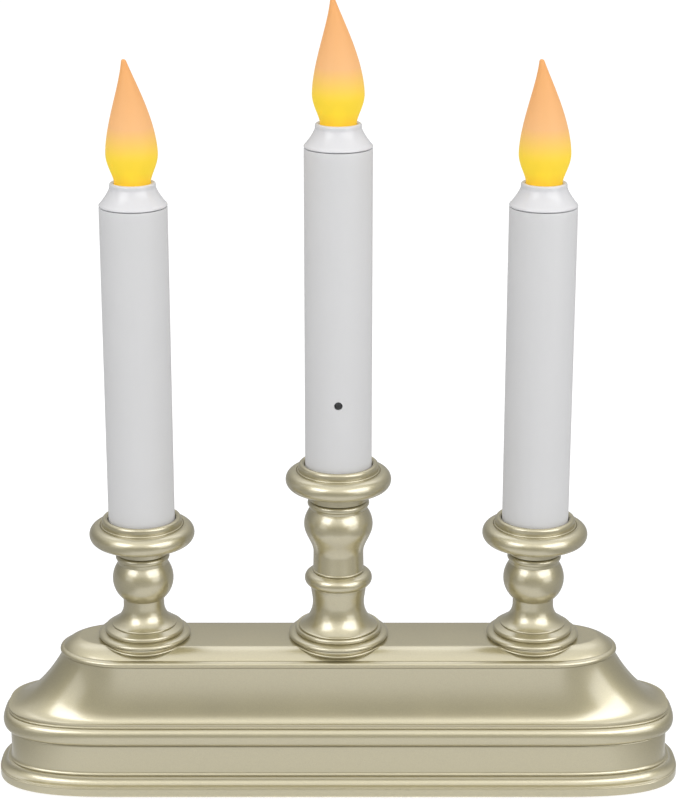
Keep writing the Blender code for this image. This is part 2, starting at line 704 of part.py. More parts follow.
def make_stem_screws():
    for side, x, _ in candle_places():
        for i, screw_x in enumerate(stem_screw_places(x)):
            head = ceiling_z - GAP
            screw(f"stem_screw_{side}_{i + 1}", screw_x, 0.0, head, STEM_SCREW_LENGTH)


def cell_axis_z():
    return door_top + GAP + CELL_DIAMETER / 2


def battery_lead_x():
    return well_half_length - LEAD_RADIUS - 2 * GAP


def door_edges():
    # Front edge of the door, and the hinge axis near its back edge
    return -well_half_depth, well_half_depth - DOOR_THICKNESS / 2 + GAP


def make_bottom_plate():
    inset = SHELL_WALL + GAP
    rings = [lower_outline(inset, plate_top), lower_outline(inset, plate_z)]
    plate = loft("bottom_plate", rings, GREY_PLASTIC)
    half_x = well_half_length
    half_y = well_half_depth
    low = (-half_x - WELL_WALL, -half_y - WELL_WALL, plate_top - GAP)
    high = (half_x + WELL_WALL, half_y + WELL_WALL, well_roof)
    combine(plate, block("well_walls", low, high, None), "UNION")
    for i, x in enumerate(board_screw_places()):
        post = rod(f"board_post_{i}", x, 0.0, SCREW_RADIUS + WELL_WALL, well_top + GAP,
                   well_roof + BOARD_STANDOFF, None)
        combine(plate, post, "UNION")
    low = (-half_x, -half_y, plate_top - GAP)
    combine(plate, block("well_space", low, (half_x, half_y, well_top), None))
    front, axis = door_edges()
    low = (-half_x, front - GAP, plate_z - GAP)
    high = (half_x, axis + DOOR_THICKNESS / 2 + GAP, plate_top + GAP)
    combine(plate, block("door_opening", low, high, None))
    for i, x in enumerate(board_screw_places()):
        hole = rod(f"post_hole_{i}", x, 0.0, SCREW_RADIUS + PLAY,
                   board_top - BOARD_SCREW_LENGTH - GAP, board_top, None)
        combine(plate, hole)
    for i, sign in enumerate((-1, 1)):
        hole = rod(f"lead_hole_{i}", sign * battery_lead_x(), 0.0, LEAD_HOLE,
                   well_top - GAP, well_roof + GAP, None)
        combine(plate, hole)
    for i, (x, y) in enumerate(plate_screw_places()):
        hole = rod(f"plate_hole_{i}", x, y, SCREW_RADIUS + PLAY, plate_z - GAP, plate_top + GAP, None)
        combine(plate, hole)
    slot_x = (SLIDER_LENGTH + SLIDER_TRAVEL) / 2 + GAP
    slot_y = SLIDER_DEPTH / 2 + GAP
    low = (switch_x - slot_x, -slot_y, plate_z - GAP)
    combine(plate, block("switch_slot", low, (switch_x + slot_x, slot_y, plate_top + GAP), None))


def make_door():
    front, axis = door_edges()
    half_x = well_half_length - GAP
    thick = DOOR_THICKNESS / 2
    hinge_z = plate_z + thick
    door = block("battery_door", (-half_x, front - axis, -thick), (half_x, 0.0, thick), GREY_PLASTIC)
    barrel = rod("door_barrel", 0.0, 0.0, thick, -half_x, half_x, None)
    barrel.rotation_euler = (0.0, radians(90), 0.0)
    notch = rod("door_notch", 0.0, front - axis, DOOR_FINGER_RADIUS, -2 * thick, -thick / 3, None, 20)
    for tool in (barrel, notch):
        tool.location = (0.0, axis, hinge_z)
    door.location = (0.0, axis, hinge_z)
    combine(door, barrel, "UNION")
    combine(door, notch)


def make_cells():
    pitch = CELL_LENGTH + GAP
    first = -well_half_length + CONTACT_THICKNESS + SPRING_LENGTH + 2 * GAP
    radius = CELL_DIAMETER / 2
    body = CELL_LENGTH - CELL_NUB_HEIGHT
    profile = [(0.0, CELL_LENGTH), (CELL_NUB_RADIUS, CELL_LENGTH), (CELL_NUB_RADIUS, body)]
    edge = CELL_EDGE
    profile += arc((radius - edge, body - edge), (edge, edge), 90, 0, 2)
    profile += [(radius, edge), (radius - edge, 0.0), (0.0, 0.0)]
    for i in range(CELL_COUNT):
        place = (first + i * pitch, 0.0, cell_axis_z())
        cell = turned(f"battery_{i + 1}", profile, place, CELL_JACKET, 20, False)
        cell.rotation_euler = (0.0, radians(90), 0.0)
    return first


def make_contacts(first_cell):
    end = well_half_length
    half = CONTACT_WIDTH / 2
    z = cell_axis_z()
    low = (end - GAP - CONTACT_THICKNESS, -half, z - half)
    block("battery_contact", low, (end - GAP, half, z + half), STEEL)
    # Conical coil between the well's end wall and the first cell
    start = -end + GAP + SPRING_WIRE
    length = first_cell - GAP - SPRING_WIRE - start
    per_turn = 8
    route = []
    for i in range(SPRING_TURNS * per_turn + 1):
        share = i / (SPRING_TURNS * per_turn)
        angle = 2 * pi * SPRING_TURNS * share
        reach = blend(half, half / 2, share)
        route.append((start + length * share, reach * sin(angle), z + reach * cos(angle)))
    wire = tube_along("battery_spring", route, SPRING_WIRE, STEEL)
    wire.data.bevel_resolution = 1
    print("spring's least gap to itself, mm:", round(1000 * (length / SPRING_TURNS - 2 * SPRING_WIRE), 2))


def make_board():
    half_x = BOARD_LENGTH / 2
    half_y = BOARD_DEPTH / 2
    low = (-half_x, -half_y, board_z)
    board = block("circuit_board", low, (half_x, half_y, board_top), BOARD_GREEN)
    for i, x in enumerate(board_screw_places()):
        hole = rod(f"board_hole_{i}", x, 0.0, SCREW_RADIUS + PLAY, board_z - GAP, board_top + GAP, None)
        combine(board, hole)
        fastener = screw(f"circuit_board_screw_{i + 1}", x, 0.0, board_top + GAP, BOARD_SCREW_LENGTH)
        fastener.rotation_euler = (radians(180), 0.0, 0.0)
    z = board_top + GAP
    chip_x = -BOARD_LENGTH * 0.22
    low = (chip_x - CHIP_LENGTH / 2, -half_y + BOARD_MARGIN, z)
    high = (chip_x + CHIP_LENGTH / 2, -half_y + BOARD_MARGIN + CHIP_DEPTH, z + CHIP_HEIGHT)
    block("timer_chip", low, high, BLACK_PLASTIC)
    cap_x = BOARD_LENGTH * 0.22
    cap_y = half_y - CAPACITOR_RADIUS - BOARD_MARGIN
    rod("capacitor", cap_x, cap_y, CAPACITOR_RADIUS, z, z + CAPACITOR_HEIGHT, CELL_JACKET, 16)


def make_switch():
    half_x = SWITCH_LENGTH / 2
    half_y = SWITCH_DEPTH / 2
    low_z = plate_top + GAP
    low = (switch_x - half_x, -half_y, low_z)
    body = block("switch_body", low, (switch_x + half_x, half_y, low_z + SWITCH_HEIGHT), STEEL)
    slot_x = (SLIDER_LENGTH + SLIDER_TRAVEL) / 2 + GAP
    slot_y = SLIDER_DEPTH / 2 + GAP
    top = low_z + SWITCH_HEIGHT / 2
    low = (switch_x - slot_x, -slot_y, low_z - GAP)
    combine(body, block("slider_space", low, (switch_x + slot_x, slot_y, top), None))
    x = switch_x - SLIDER_TRAVEL / 2
    low = (-SLIDER_LENGTH / 2, -SLIDER_DEPTH / 2, -KNOB_HEIGHT / 2)
    high = (SLIDER_LENGTH / 2, SLIDER_DEPTH / 2, top - plate_z + KNOB_HEIGHT)
    slider = block("switch_slider", low, high, BLACK_PLASTIC)
    low = (-SLIDER_LENGTH / 2 - GAP, -KNOB_DEPTH / 2, 0.0)
    knob = block("slider_knob", low, (SLIDER_LENGTH / 2 + GAP, KNOB_DEPTH / 2, KNOB_HEIGHT), None)
    for piece in (slider, knob):
        piece.location = (x, 0.0, plate_z - GAP - KNOB_HEIGHT)
    combine(slider, knob, "UNION")


def make_feet():
    for i, (x, y) in enumerate(rubber_places()):
        rod(f"rubber_foot_{i + 1}", x, y, RUBBER_RADIUS, 0.0, plate_z - GAP, RUBBER, 16)
    for i, (x, y) in enumerate(plate_screw_places()):
        screw(f"plate_screw_{i + 1}", x, y, plate_z - GAP, PLATE_SCREW_LENGTH)


def landing(x, y):
    # Last stretch of a lead, straight down on to the circuit board
    return [(x, y, board_top + LEAD_LANDING), (x, y, board_top + GAP)]


def make_leads(lead_tops):
    board_end = BOARD_LENGTH / 2
    pad_x = board_end - BOARD_SCREW_INSET - SCREW_HEAD_RADIUS - 3 * LEAD_RADIUS
    pad_y = BOARD_DEPTH * 0.31
    loft_z = board_top + LEAD_LANDING
    bend = STEM_BORE / 2
    for side, x, stem_height in candle_places():
        top = lead_tops[side]
        cup_z = foot_z + stem_height
        if side == "centre":
            route = [(x, 0.0, top), (x, 0.0, blend(cup_z, top, 0.6)), (bend, bend / 2, cup_z)]
            route += [(bend, bend / 2, foot_z)]
            route += landing(pad_x * 0.4, bend / 2)
        else:
            inwards = -1 if x > 0 else 1
            route = [(x, 0.0, top), (x, 0.0, cup_z), (x, 0.0, foot_z)]
            route += [(x + inwards * bend, 0.0, ceiling_z - bend)]
            route += [(x + inwards * 6 * bend, pad_y / 2, loft_z + bend)]
            route += [(-inwards * board_end, pad_y, loft_z + bend)]
            route += landing(-inwards * pad_x, pad_y)
        tube_along("led_lead_" + side, smooth_route(route, 2), LEAD_RADIUS, RED_LEAD)
    end = battery_lead_x()
    contact_top = cell_axis_z() + CONTACT_WIDTH / 2 + GAP
    roof = well_roof + LEAD_RADIUS + GAP
    for name, sign, colour in (("minus", -1, BLACK_LEAD), ("plus", 1, RED_LEAD)):
        start = contact_top + (SPRING_WIRE if sign < 0 else 0.0)
        route = [(sign * end, 0.0, start), (sign * end, 0.0, well_top), (sign * end, 0.0, roof)]
        route += [(sign * (end - 3 * bend), -pad_y / 2, roof + bend)]
        route += [(sign * board_end * 2, -pad_y, roof + bend), (sign * board_end, -pad_y, loft_z)]
        route += landing(sign * pad_x, -pad_y)
        tube_along("battery_lead_" + name, smooth_route(route, 2), LEAD_RADIUS, colour)
    switch_top = plate_top + 2 * GAP + SWITCH_HEIGHT
    route = [(switch_x, 0.0, switch_top), (switch_x, 0.0, blend(switch_top, well_roof, 0.6))]
    route += [(end + 4 * bend, bend / 2, roof + 2 * bend), (board_end * 2, bend, roof + bend)]
    route += [(board_end, bend, loft_z)]
    route += landing(pad_x, bend / 2)
    tube_along("switch_lead", smooth_route(route, 2), LEAD_RADIUS, BLACK_LEAD)


make_shell()
lead_tops = {}
for side, x, height in candle_places():
    make_stem(side, x, height)
    lead_tops[side] = make_candle(side, x, height)
make_stem_screws()
make_bottom_plate()
make_door()
make_contacts(make_cells())
make_board()
make_switch()
make_feet()
make_leads(lead_tops)
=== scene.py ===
# Looks of a three-light window candelabra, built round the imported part
from math import acos, cos, degrees, exp, hypot, pi, radians, sin, sqrt

import bmesh
import bpy
from mathutils import Matrix, Vector


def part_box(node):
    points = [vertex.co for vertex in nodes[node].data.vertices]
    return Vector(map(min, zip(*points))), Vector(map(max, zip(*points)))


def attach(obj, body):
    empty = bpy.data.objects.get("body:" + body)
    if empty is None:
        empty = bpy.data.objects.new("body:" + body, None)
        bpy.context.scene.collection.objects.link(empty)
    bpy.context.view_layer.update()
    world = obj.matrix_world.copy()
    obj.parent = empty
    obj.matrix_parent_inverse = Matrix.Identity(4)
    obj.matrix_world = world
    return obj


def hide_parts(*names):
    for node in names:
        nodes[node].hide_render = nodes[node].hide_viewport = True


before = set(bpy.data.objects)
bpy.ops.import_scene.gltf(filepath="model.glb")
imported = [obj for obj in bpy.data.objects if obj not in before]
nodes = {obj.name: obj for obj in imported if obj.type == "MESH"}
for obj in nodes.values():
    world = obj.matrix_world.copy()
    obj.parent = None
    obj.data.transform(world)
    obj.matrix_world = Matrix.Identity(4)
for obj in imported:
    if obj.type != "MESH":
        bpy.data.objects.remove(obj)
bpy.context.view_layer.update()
scene = bpy.context.scene
mm = 0.001
print("frame loaded:", len(nodes), "nodes")

# camera and studio light
studio = {
    "cameraPlace": (0.0004, -0.7806, 0.3897),
    "cameraTilt": 72.59,
    "sensorWidth": 36.0,
    "focalPixels": 2288.0,
    "photoHeight": 799.0,
    "floorReach": 30.0,
    "floorColour": (0.58, 0.58, 0.57, 1.0),
    "floorGlow": 0.80,
    "floorShadow": 0.30,
    # sine of the elevation, grey level
    "sky": [(0.0, 0.40), (0.30, 0.42), (0.42, 0.46), (0.58, 0.84), (0.80, 1.10), (1.0, 1.40)],
    # darker low on the left: how much, how fast it comes in and where it starts
    "leftDark": 0.25, "leftSlope": -1.8, "leftStart": 0.45,
    "horizon": -0.001,
    # place, width, height, watts
    "leftBox": ((-0.62, -0.56, 0.72), 0.58, 0.56, 3.2),
    "rightBox": ((0.66, -0.60, 0.70), 0.95, 0.60, 4.8),
    "frontBox": ((0.0, -0.90, 0.76), 1.70, 0.66, 1.4),
    "rightCard": ((0.80, -0.62, 0.26), 0.60, 0.42, 1.1),
    "leftCard": ((-0.80, -0.62, 0.26), 0.50, 0.36, 0.45),
    "backBox": ((0.0, 0.40, 0.86), 1.30, 0.34, 1.0),
    "sheenOnly": ("frontBox", "rightCard", "leftCard"),
    "underLamp": ((0.0, 0.0, -0.32), 0.06, 0.04, 0.9),
    "lampTarget": (0.0, 0.0, 0.11),
    # how far the white of the floor reaches in reflections, how softly it ends, its level and that beyond
    "whiteFront": 0.215, "whiteBack": 0.08, "whiteSide": 0.13, "whiteSoft": 0.04,
    "whiteGlow": 0.72, "dimGlow": 0.10,
}


def put(tree, kind, sockets=None, **settings):
    node = tree.nodes.new(kind)
    for name, value in settings.items():
        setattr(node, name, value)
    for key, value in (sockets or {}).items():
        if isinstance(value, bpy.types.NodeSocket):
            tree.links.new(value, node.inputs[key])
        else:
            node.inputs[key].default_value = value
    return node


def give(tree, kind, sockets=None, **settings):
    # first output of a new node
    return put(tree, kind, sockets, **settings).outputs[0]


def calc(tree, operation, a, b=0.0, clamp=False):
    return give(tree, "ShaderNodeMath", {0: a, 1: b}, operation=operation, use_clamp=clamp)


def swing(tree, value, depth):
    # a pattern from 0 to 1 becomes a change round zero
    return calc(tree, "MULTIPLY", calc(tree, "SUBTRACT", value, 0.5), depth)


def mixColour(tree, share, a, b, kind="MIX"):
    node = put(tree, "ShaderNodeMix", {0: share, 6: a, 7: b}, data_type="RGBA", blend_type=kind)
    return node.outputs[2]


def ramp(tree, share, stops, kind="LINEAR"):
    node = put(tree, "ShaderNodeValToRGB", {"Fac": share})
    node.color_ramp.interpolation = kind
    points = node.color_ramp.elements
    while len(points) < len(stops):
        points.new(0.5)
    for point, (place, colour) in zip(points, stops):
        point.position = place
        point.color = colour
    return node.outputs["Color"]


def makeCamera():
    camera = bpy.data.objects.new("photoCamera", bpy.data.cameras.new("photoCamera"))
    scene.collection.objects.link(camera)
    camera.data.sensor_width = studio["sensorWidth"]
    camera.data.lens = studio["focalPixels"] / studio["photoHeight"] * camera.data.sensor_width
    camera.location = studio["cameraPlace"]
    camera.rotation_euler = (radians(studio["cameraTilt"]), 0.0, 0.0)
    scene.camera = camera


def makeWorld():
    world = bpy.data.worlds.new("studioSky")
    scene.world = world
    world.use_nodes = True
    tree = world.node_tree
    tree.nodes.clear()
    place = put(tree, "ShaderNodeTexCoord")
    x, _, height = put(tree, "ShaderNodeSeparateXYZ", {0: place.outputs["Generated"]}).outputs
    stops = [(share, (grey, grey, grey, 1.0)) for share, grey in studio["sky"]]
    above = calc(tree, "GREATER_THAN", height, studio["horizon"])
    left = calc(tree, "SUBTRACT", calc(tree, "MULTIPLY", x, studio["leftSlope"]), studio["leftStart"], True)
    low = calc(tree, "SUBTRACT", 1.0, height, True)
    dark = calc(tree, "MULTIPLY", calc(tree, "MULTIPLY", left, low), studio["leftDark"])
    strength = calc(tree, "MULTIPLY", above, calc(tree, "SUBTRACT", 1.0, dark))
    sky = ramp(tree, height, stops)
    shade = give(tree, "ShaderNodeBackground", {"Color": sky, "Strength": strength})
    white = give(tree, "ShaderNodeBackground", {"Color": (1.0, 1.0, 1.0, 1.0), "Strength": 1.0})
    seen = put(tree, "ShaderNodeLightPath").outputs["Is Camera Ray"]
    surface = give(tree, "ShaderNodeMixShader", {0: seen, 1: shade, 2: white})
    put(tree, "ShaderNodeOutputWorld", {"Surface": surface})


def makeFloor():
    reach = studio["floorReach"]
    mesh = bpy.data.meshes.new("floor")
    corners = [(-reach, -reach, 0.0), (reach, -reach, 0.0), (reach, reach, 0.0), (-reach, reach, 0.0)]
    mesh.from_pydata(corners, [], [(0, 1, 2, 3)])
    floor = bpy.data.objects.new("floor", mesh)
    scene.collection.objects.link(floor)
    material = bpy.data.materials.new("paleFloor")
    material.use_nodes = True
    tree = material.node_tree
    tree.nodes.clear()
    paths = put(tree, "ShaderNodeLightPath").outputs
    seen = calc(tree, "ADD", paths["Is Camera Ray"], paths["Is Glossy Ray"], True)
    seen = calc(tree, "ADD", seen, paths["Is Transmission Ray"], True)
    matt = give(tree, "ShaderNodeBsdfDiffuse", {"Color": studio["floorColour"]})
    place = put(tree, "ShaderNodeTexCoord").outputs["Object"]
    x, y, _ = put(tree, "ShaderNodeSeparateXYZ", {0: place}).outputs
    white = None
    for distance, limit in ((calc(tree, "MULTIPLY", y, -1.0), "whiteFront"), (y, "whiteBack"),
                            (calc(tree, "ABSOLUTE", x), "whiteSide")):
        inside = calc(tree, "SUBTRACT", studio[limit] + studio["whiteSoft"] / 2, distance)
        inside = calc(tree, "DIVIDE", inside, studio["whiteSoft"], True)
        white = calc(tree, "MULTIPLY", white, inside) if white else inside
    shine = calc(tree, "MULTIPLY", white, studio["whiteGlow"] - studio["dimGlow"])
    loss = calc(tree, "SUBTRACT", studio["floorGlow"] - studio["dimGlow"], shine)
    level = calc(tree, "SUBTRACT", studio["floorGlow"], calc(tree, "MULTIPLY", loss, paths["Is Glossy Ray"]))
    glow = give(tree, "ShaderNodeEmission", {"Strength": level})
    grey = (studio["floorShadow"],) * 3 + (1.0,)
    shadow = give(tree, "ShaderNodeBsdfDiffuse", {"Color": grey})
    bright = give(tree, "ShaderNodeAddShader", {0: glow, 1: shadow})
    surface = give(tree, "ShaderNodeMixShader", {0: seen, 1: matt, 2: bright})
    below = put(tree, "ShaderNodeNewGeometry").outputs["Backfacing"]
    clear = give(tree, "ShaderNodeBsdfTransparent")
    surface = give(tree, "ShaderNodeMixShader", {0: below, 1: surface, 2: clear})
    put(tree, "ShaderNodeOutputMaterial", {"Surface": surface})
    mesh.materials.append(material)
    floor.visible_shadow = False  # lets the lamp under the table reach the underside


def makeLamp(name):
    place, width, height, watts = studio[name]
    lamp = bpy.data.lights.new(name, "AREA")
    lamp.shape = "RECTANGLE"
    lamp.size = width
    lamp.size_y = height
    lamp.energy = watts
    stand = bpy.data.objects.new(name, lamp)
    scene.collection.objects.link(stand)
    stand.location = place
    aim = Vector(studio["lampTarget"]) - Vector(place)
    stand.rotation_euler = aim.to_track_quat("-Z", "Y").to_euler()
    stand.visible_camera = False
    stand.visible_diffuse = name not in studio["sheenOnly"]


makeCamera()
makeWorld()
makeFloor()
for lampName in ("leftBox", "rightBox", "frontBox", "rightCard", "leftCard", "backBox", "underLamp"):
    makeLamp(lampName)
scene.view_settings.view_transform = "Standard"
print("studio ready")


# shared surface effects
def surfaceGroup(name, inputs):
    tree = bpy.data.node_groups.new(name, "ShaderNodeTree")
    for label, kind, value in inputs:
        socket = tree.interface.new_socket(label, in_out="INPUT", socket_type="NodeSocket" + kind)
        if value is not None:
            socket.default_value = value
    for label, kind in (("Color", "Color"), ("Roughness", "Float"), ("Height", "Float")):
        tree.interface.new_socket(label, in_out="OUTPUT", socket_type="NodeSocket" + kind)
    return tree, tree.nodes.new("NodeGroupInput").outputs, tree.nodes.new("NodeGroupOutput").inputs


def noise(tree, place, scale, detail=2.0):
    node = put(tree, "ShaderNodeTexNoise", {"Vector": place, "Scale": scale, "Detail": detail})
    return node.outputs["Fac"]


paintLook = {"cloudScale": 55.0, "cloudDetail": 3.0, "peelScale": 700.0, "wear": 0.14, "dust": 0.2,
             "flakeRelief": 0.35}


def makeFlakePaint():
    # sprayed metallic paint: fine flakes, soft clouds, painted shade darkening the grooves, where dust also
    # makes it rougher
    tree, given, out = surfaceGroup("flakePaint", [
        ("Place", "Vector", None),
        # mask of the painted shade and dust in the grooves, then the painted shade's colour
        ("Seam", "Float", 0.0),
        ("Paint", "Color", (0.5, 0.5, 0.5, 1.0)),
        ("Groove", "Color", (0.1, 0.1, 0.1, 1.0)),
        ("Flake Scale", "Float", 5000.0),
        ("Flake Depth", "Float", 0.10),
        ("Cloud Depth", "Float", 0.06),
        ("Roughness", "Float", 0.35),
    ])
    flakes = put(tree, "ShaderNodeTexVoronoi", {"Vector": given["Place"], "Scale": given["Flake Scale"]})
    flake = give(tree, "ShaderNodeSeparateColor", {0: flakes.outputs["Color"]})
    clouds = noise(tree, given["Place"], paintLook["cloudScale"], paintLook["cloudDetail"])
    peel = noise(tree, given["Place"], paintLook["peelScale"])
    lift = swing(tree, flake, given["Flake Depth"])
    drift = swing(tree, clouds, given["Cloud Depth"])
    level = calc(tree, "ADD", calc(tree, "ADD", lift, drift), 1.0)
    bright = give(tree, "ShaderNodeVectorMath", {0: given["Paint"], 3: level}, operation="SCALE")
    tree.links.new(mixColour(tree, given["Seam"], bright, given["Groove"]), out["Color"])
    worn = swing(tree, clouds, paintLook["wear"])
    dusty = calc(tree, "MULTIPLY", given["Seam"], paintLook["dust"])
    rough = calc(tree, "ADD", calc(tree, "ADD", given["Roughness"], worn), dusty, True)
    tree.links.new(rough, out["Roughness"])
    relief = calc(tree, "ADD", calc(tree, "MULTIPLY", flake, paintLook["flakeRelief"]), peel)
    tree.links.new(relief, out["Height"])
    return tree


def makeMouldedSkin():
    # moulded plastic or rubber: fine grain, slow colour drift, uneven shine
    tree, given, out = surfaceGroup("mouldedSkin", [
        ("Place", "Vector", None),
        ("Tint", "Color", (0.5, 0.5, 0.5, 1.0)),
        ("Second Tint", "Color", (0.4, 0.4, 0.4, 1.0)),
        ("Grain Scale", "Float", 1500.0),
        ("Drift Scale", "Float", 40.0),
        ("Roughness", "Float", 0.45),
        ("Shine Spread", "Float", 0.12),
    ])
    grain = noise(tree, given["Place"], given["Grain Scale"], 3.0)
    drift = noise(tree, given["Place"], given["Drift Scale"], 3.0)
    tree.links.new(mixColour(tree, drift, given["Tint"], given["Second Tint"]), out["Color"])
    spread = swing(tree, drift, given["Shine Spread"])
    speck = swing(tree, grain, given["Shine Spread"])
    rough = calc(tree, "ADD", calc(tree, "ADD", given["Roughness"], spread), speck, True)
    tree.links.new(rough, out["Roughness"])
    tree.links.new(grain, out["Height"])
    return tree


flakePaint = makeFlakePaint()
mouldedSkin = makeMouldedSkin()


def newFinish(name, group, values, bump, shaderValues):
    material = bpy.data.materials.new(name)
    material.use_nodes = True
    tree = material.node_tree
    shader = tree.nodes["Principled BSDF"]
    for key, value in shaderValues.items():
        shader.inputs[key].default_value = value
    skin = put(tree, "ShaderNodeGroup", node_tree=group)
    tree.links.new(put(tree, "ShaderNodeTexCoord").outputs["Object"], skin.inputs["Place"])
    for key, value in values.items():
        skin.inputs[key].default_value = value
    strength, depth = bump
    relief = put(tree, "ShaderNodeBump", {
        "Strength": strength, "Distance": depth, "Height": skin.outputs["Height"]})
    tree.links.new(skin.outputs["Color"], shader.inputs["Base Color"])
    tree.links.new(skin.outputs["Roughness"], shader.inputs["Roughness"])
    tree.links.new(relief.outputs[0], shader.inputs["Normal"])
    return material, skin, shader


champagne = {
    "paint": (0.40, 0.350, 0.188, 1.0),
    # groove: colour of the painted shade in the grooves
    "groove": (0.13, 0.115, 0.075, 1.0),
    "roughness": 0.44,
    "metallic": 0.82,
    "coat": 1.0,
    "coatRoughness": 0.22,
    "coatBend": 2.5,
    "grooveShadeStrength": 0.06,
}


def makeChampagne():
    material, skin, _ = newFinish("champagnePaint", flakePaint, {
        "Paint": champagne["paint"], "Groove": champagne["groove"],
        "Roughness": champagne["roughness"],
    }, (0.25, 0.00002), {
        "Metallic": champagne["metallic"], "Coat Weight": champagne["coat"],
        "Coat Roughness": champagne["coatRoughness"], "Coat IOR": champagne["coatBend"]})
    tree = material.node_tree
    # mask of the painted groove shade, which also roughens the grooves as dust
    seam = put(tree, "ShaderNodeAttribute", attribute_name="seam").outputs["Fac"]
    tree.links.new(calc(tree, "MULTIPLY", seam, champagne["grooveShadeStrength"]), skin.inputs["Seam"])
    return material


plastics = {
    # tint, second tint, grain scale, roughness, bump strength, bump depth
    "waxWhite": ((0.64, 0.64, 0.65, 1), (0.61, 0.61, 0.62, 1), 900.0, 0.42, 0.12, 0.00002),
    "glossWhite": ((0.64, 0.64, 0.66, 1), (0.61, 0.61, 0.63, 1), 500.0, 0.22, 0.05, 0.00002),
    "greyPlastic": ((0.25, 0.25, 0.24, 1), (0.21, 0.21, 0.20, 1), 2600.0, 0.52, 0.50, 0.00004),
    "blackPlastic": ((0.016, 0.016, 0.017, 1), (0.024, 0.024, 0.025, 1), 2200.0, 0.40, 0.30, 0.00002),
    "footRubber": ((0.030, 0.030, 0.030, 1), (0.045, 0.044, 0.042, 1), 1800.0, 0.80, 0.50, 0.00005),
    "boardGreen": ((0.03, 0.16, 0.06, 1), (0.022, 0.12, 0.045, 1), 1200.0, 0.40, 0.15, 0.00002),
    "redLead": ((0.36, 0.022, 0.020, 1), (0.28, 0.015, 0.014, 1), 1400.0, 0.42, 0.20, 0.00002),
    "blackLead": ((0.020, 0.020, 0.021, 1), (0.030, 0.030, 0.030, 1), 1400.0, 0.42, 0.20, 0.00002),
}


def makePlastic(name):
    tint, second, grain, roughness, strength, depth = plastics[name]
    return newFinish(name, mouldedSkin, {
        "Tint": tint, "Second Tint": second, "Grain Scale": grain, "Roughness": roughness,
    }, (strength, depth), {})[0]


def makeSteel():
    # zinc plate, a little cloudy
    return newFinish("zincSteel", mouldedSkin, {
        "Tint": (0.58, 0.58, 0.58, 1), "Second Tint": (0.48, 0.48, 0.49, 1), "Grain Scale": 2500.0,
        "Drift Scale": 400.0, "Roughness": 0.30, "Shine Spread": 0.25,
    }, (0.10, 0.00001), {"Metallic": 1.0})[0]


cellLook = {
    # share of the length and level: 0 foil, 0.5 pale band, 1 bare steel
    "bands": [(0.0, 1.0), (0.022, 0.0), (0.70, 0.0), (0.705, 0.5), (0.945, 0.5), (0.955, 1.0)],
    "paleAbove": 0.25, "bareAbove": 0.75, "metallic": 0.95,
    "pale": (0.42, 0.29, 0.13, 1.0), "bare": (0.55, 0.55, 0.56, 1.0),
}


def makeCellJacket():
    # dark foil jacket, a paler band near the plus end, bare steel at both ends
    material, skin, shader = newFinish("cellJacket", mouldedSkin, {
        "Tint": (0.05, 0.05, 0.055, 1), "Second Tint": (0.035, 0.035, 0.04, 1), "Grain Scale": 300.0,
        "Roughness": 0.32,
    }, (0.05, 0.00002), {})
    tree = material.node_tree
    along = put(tree, "ShaderNodeAttribute", attribute_name="rise").outputs["Fac"]
    stops = [(share, (level, level, level, 1)) for share, level in cellLook["bands"]]
    band = ramp(tree, along, stops, "CONSTANT")
    bare = calc(tree, "GREATER_THAN", band, cellLook["bareAbove"])
    pale = calc(tree, "GREATER_THAN", band, cellLook["paleAbove"])
    coat = mixColour(tree, pale, skin.outputs["Color"], cellLook["pale"])
    tree.links.new(mixColour(tree, bare, coat, cellLook["bare"]), shader.inputs["Base Color"])
    tree.links.new(calc(tree, "MULTIPLY", pale, cellLook["metallic"]), shader.inputs["Metallic"])
    return material


flameLook = {
    # rise, glow colour
    "glow": [
        (0.00, (0.70, 0.46, 0.02, 1)), (0.10, (0.76, 0.66, 0.02, 1)), (0.24, (0.72, 0.60, 0.03, 1)),
        (0.46, (0.60, 0.34, 0.16, 1)), (0.70, (0.56, 0.28, 0.12, 1)), (1.00, (0.56, 0.26, 0.09, 1))],
    "glowStrength": 0.45,
    # rise, colour of the plastic, yellower low down as a painted glow of the LED below
    "body": [
        (0.00, (0.62, 0.42, 0.02, 1)), (0.20, (0.62, 0.44, 0.03, 1)), (0.46, (0.60, 0.36, 0.16, 1)),
        (1.00, (0.58, 0.30, 0.11, 1))],
    "roughness": 0.55,
    "transmission": 0.15,
    "bend": 1.30,
    "secondShare": 0.3, "secondTint": (0.66, 0.34, 0.12, 1.0),
    "lensGlow": (1.0, 0.74, 0.08, 1.0),
    "lensStrength": 7.0,
}


def makeFlameAmber():
    material, skin, shader = newFinish("flameAmber", mouldedSkin, {
        "Grain Scale": 800.0, "Roughness": flameLook["roughness"], "Shine Spread": 0.06,
    }, (0.05, 0.00002), {
        "Transmission Weight": flameLook["transmission"], "IOR": flameLook["bend"],
        "Emission Strength": flameLook["glowStrength"]})
    tree = material.node_tree
    rise = put(tree, "ShaderNodeAttribute", attribute_name="rise").outputs["Fac"]
    # base colour yellower low down: painted glow of the LED below
    body = ramp(tree, rise, flameLook["body"])
    tree.links.new(body, skin.inputs["Tint"])
    second = mixColour(tree, flameLook["secondShare"], body, flameLook["secondTint"])
    tree.links.new(second, skin.inputs["Second Tint"])
    tree.links.new(ramp(tree, rise, flameLook["glow"]), shader.inputs["Emission Color"])
    return material


def makeLedLens():
    return newFinish("ledLens", mouldedSkin, {
        "Tint": (0.95, 0.80, 0.40, 1), "Second Tint": (0.90, 0.72, 0.30, 1), "Grain Scale": 600.0,
        "Roughness": 0.10,
    }, (0.02, 0.00001), {
        "Emission Color": flameLook["lensGlow"], "Emission Strength": flameLook["lensStrength"]})[0]


finishes = {"champagnePaint": makeChampagne(), "zincSteel": makeSteel(), "cellJacket": makeCellJacket(),
            "flameAmber": makeFlameAmber(), "ledLens": makeLedLens()}
for plasticName in plastics:
    finishes[plasticName] = makePlastic(plasticName)
print("finishes ready:", len(finishes))


# geometry node trees; distances in metres at which points are joined
weld = {"turned": 0.000002, "thin": 0.000001, "loft": 0.0000005}


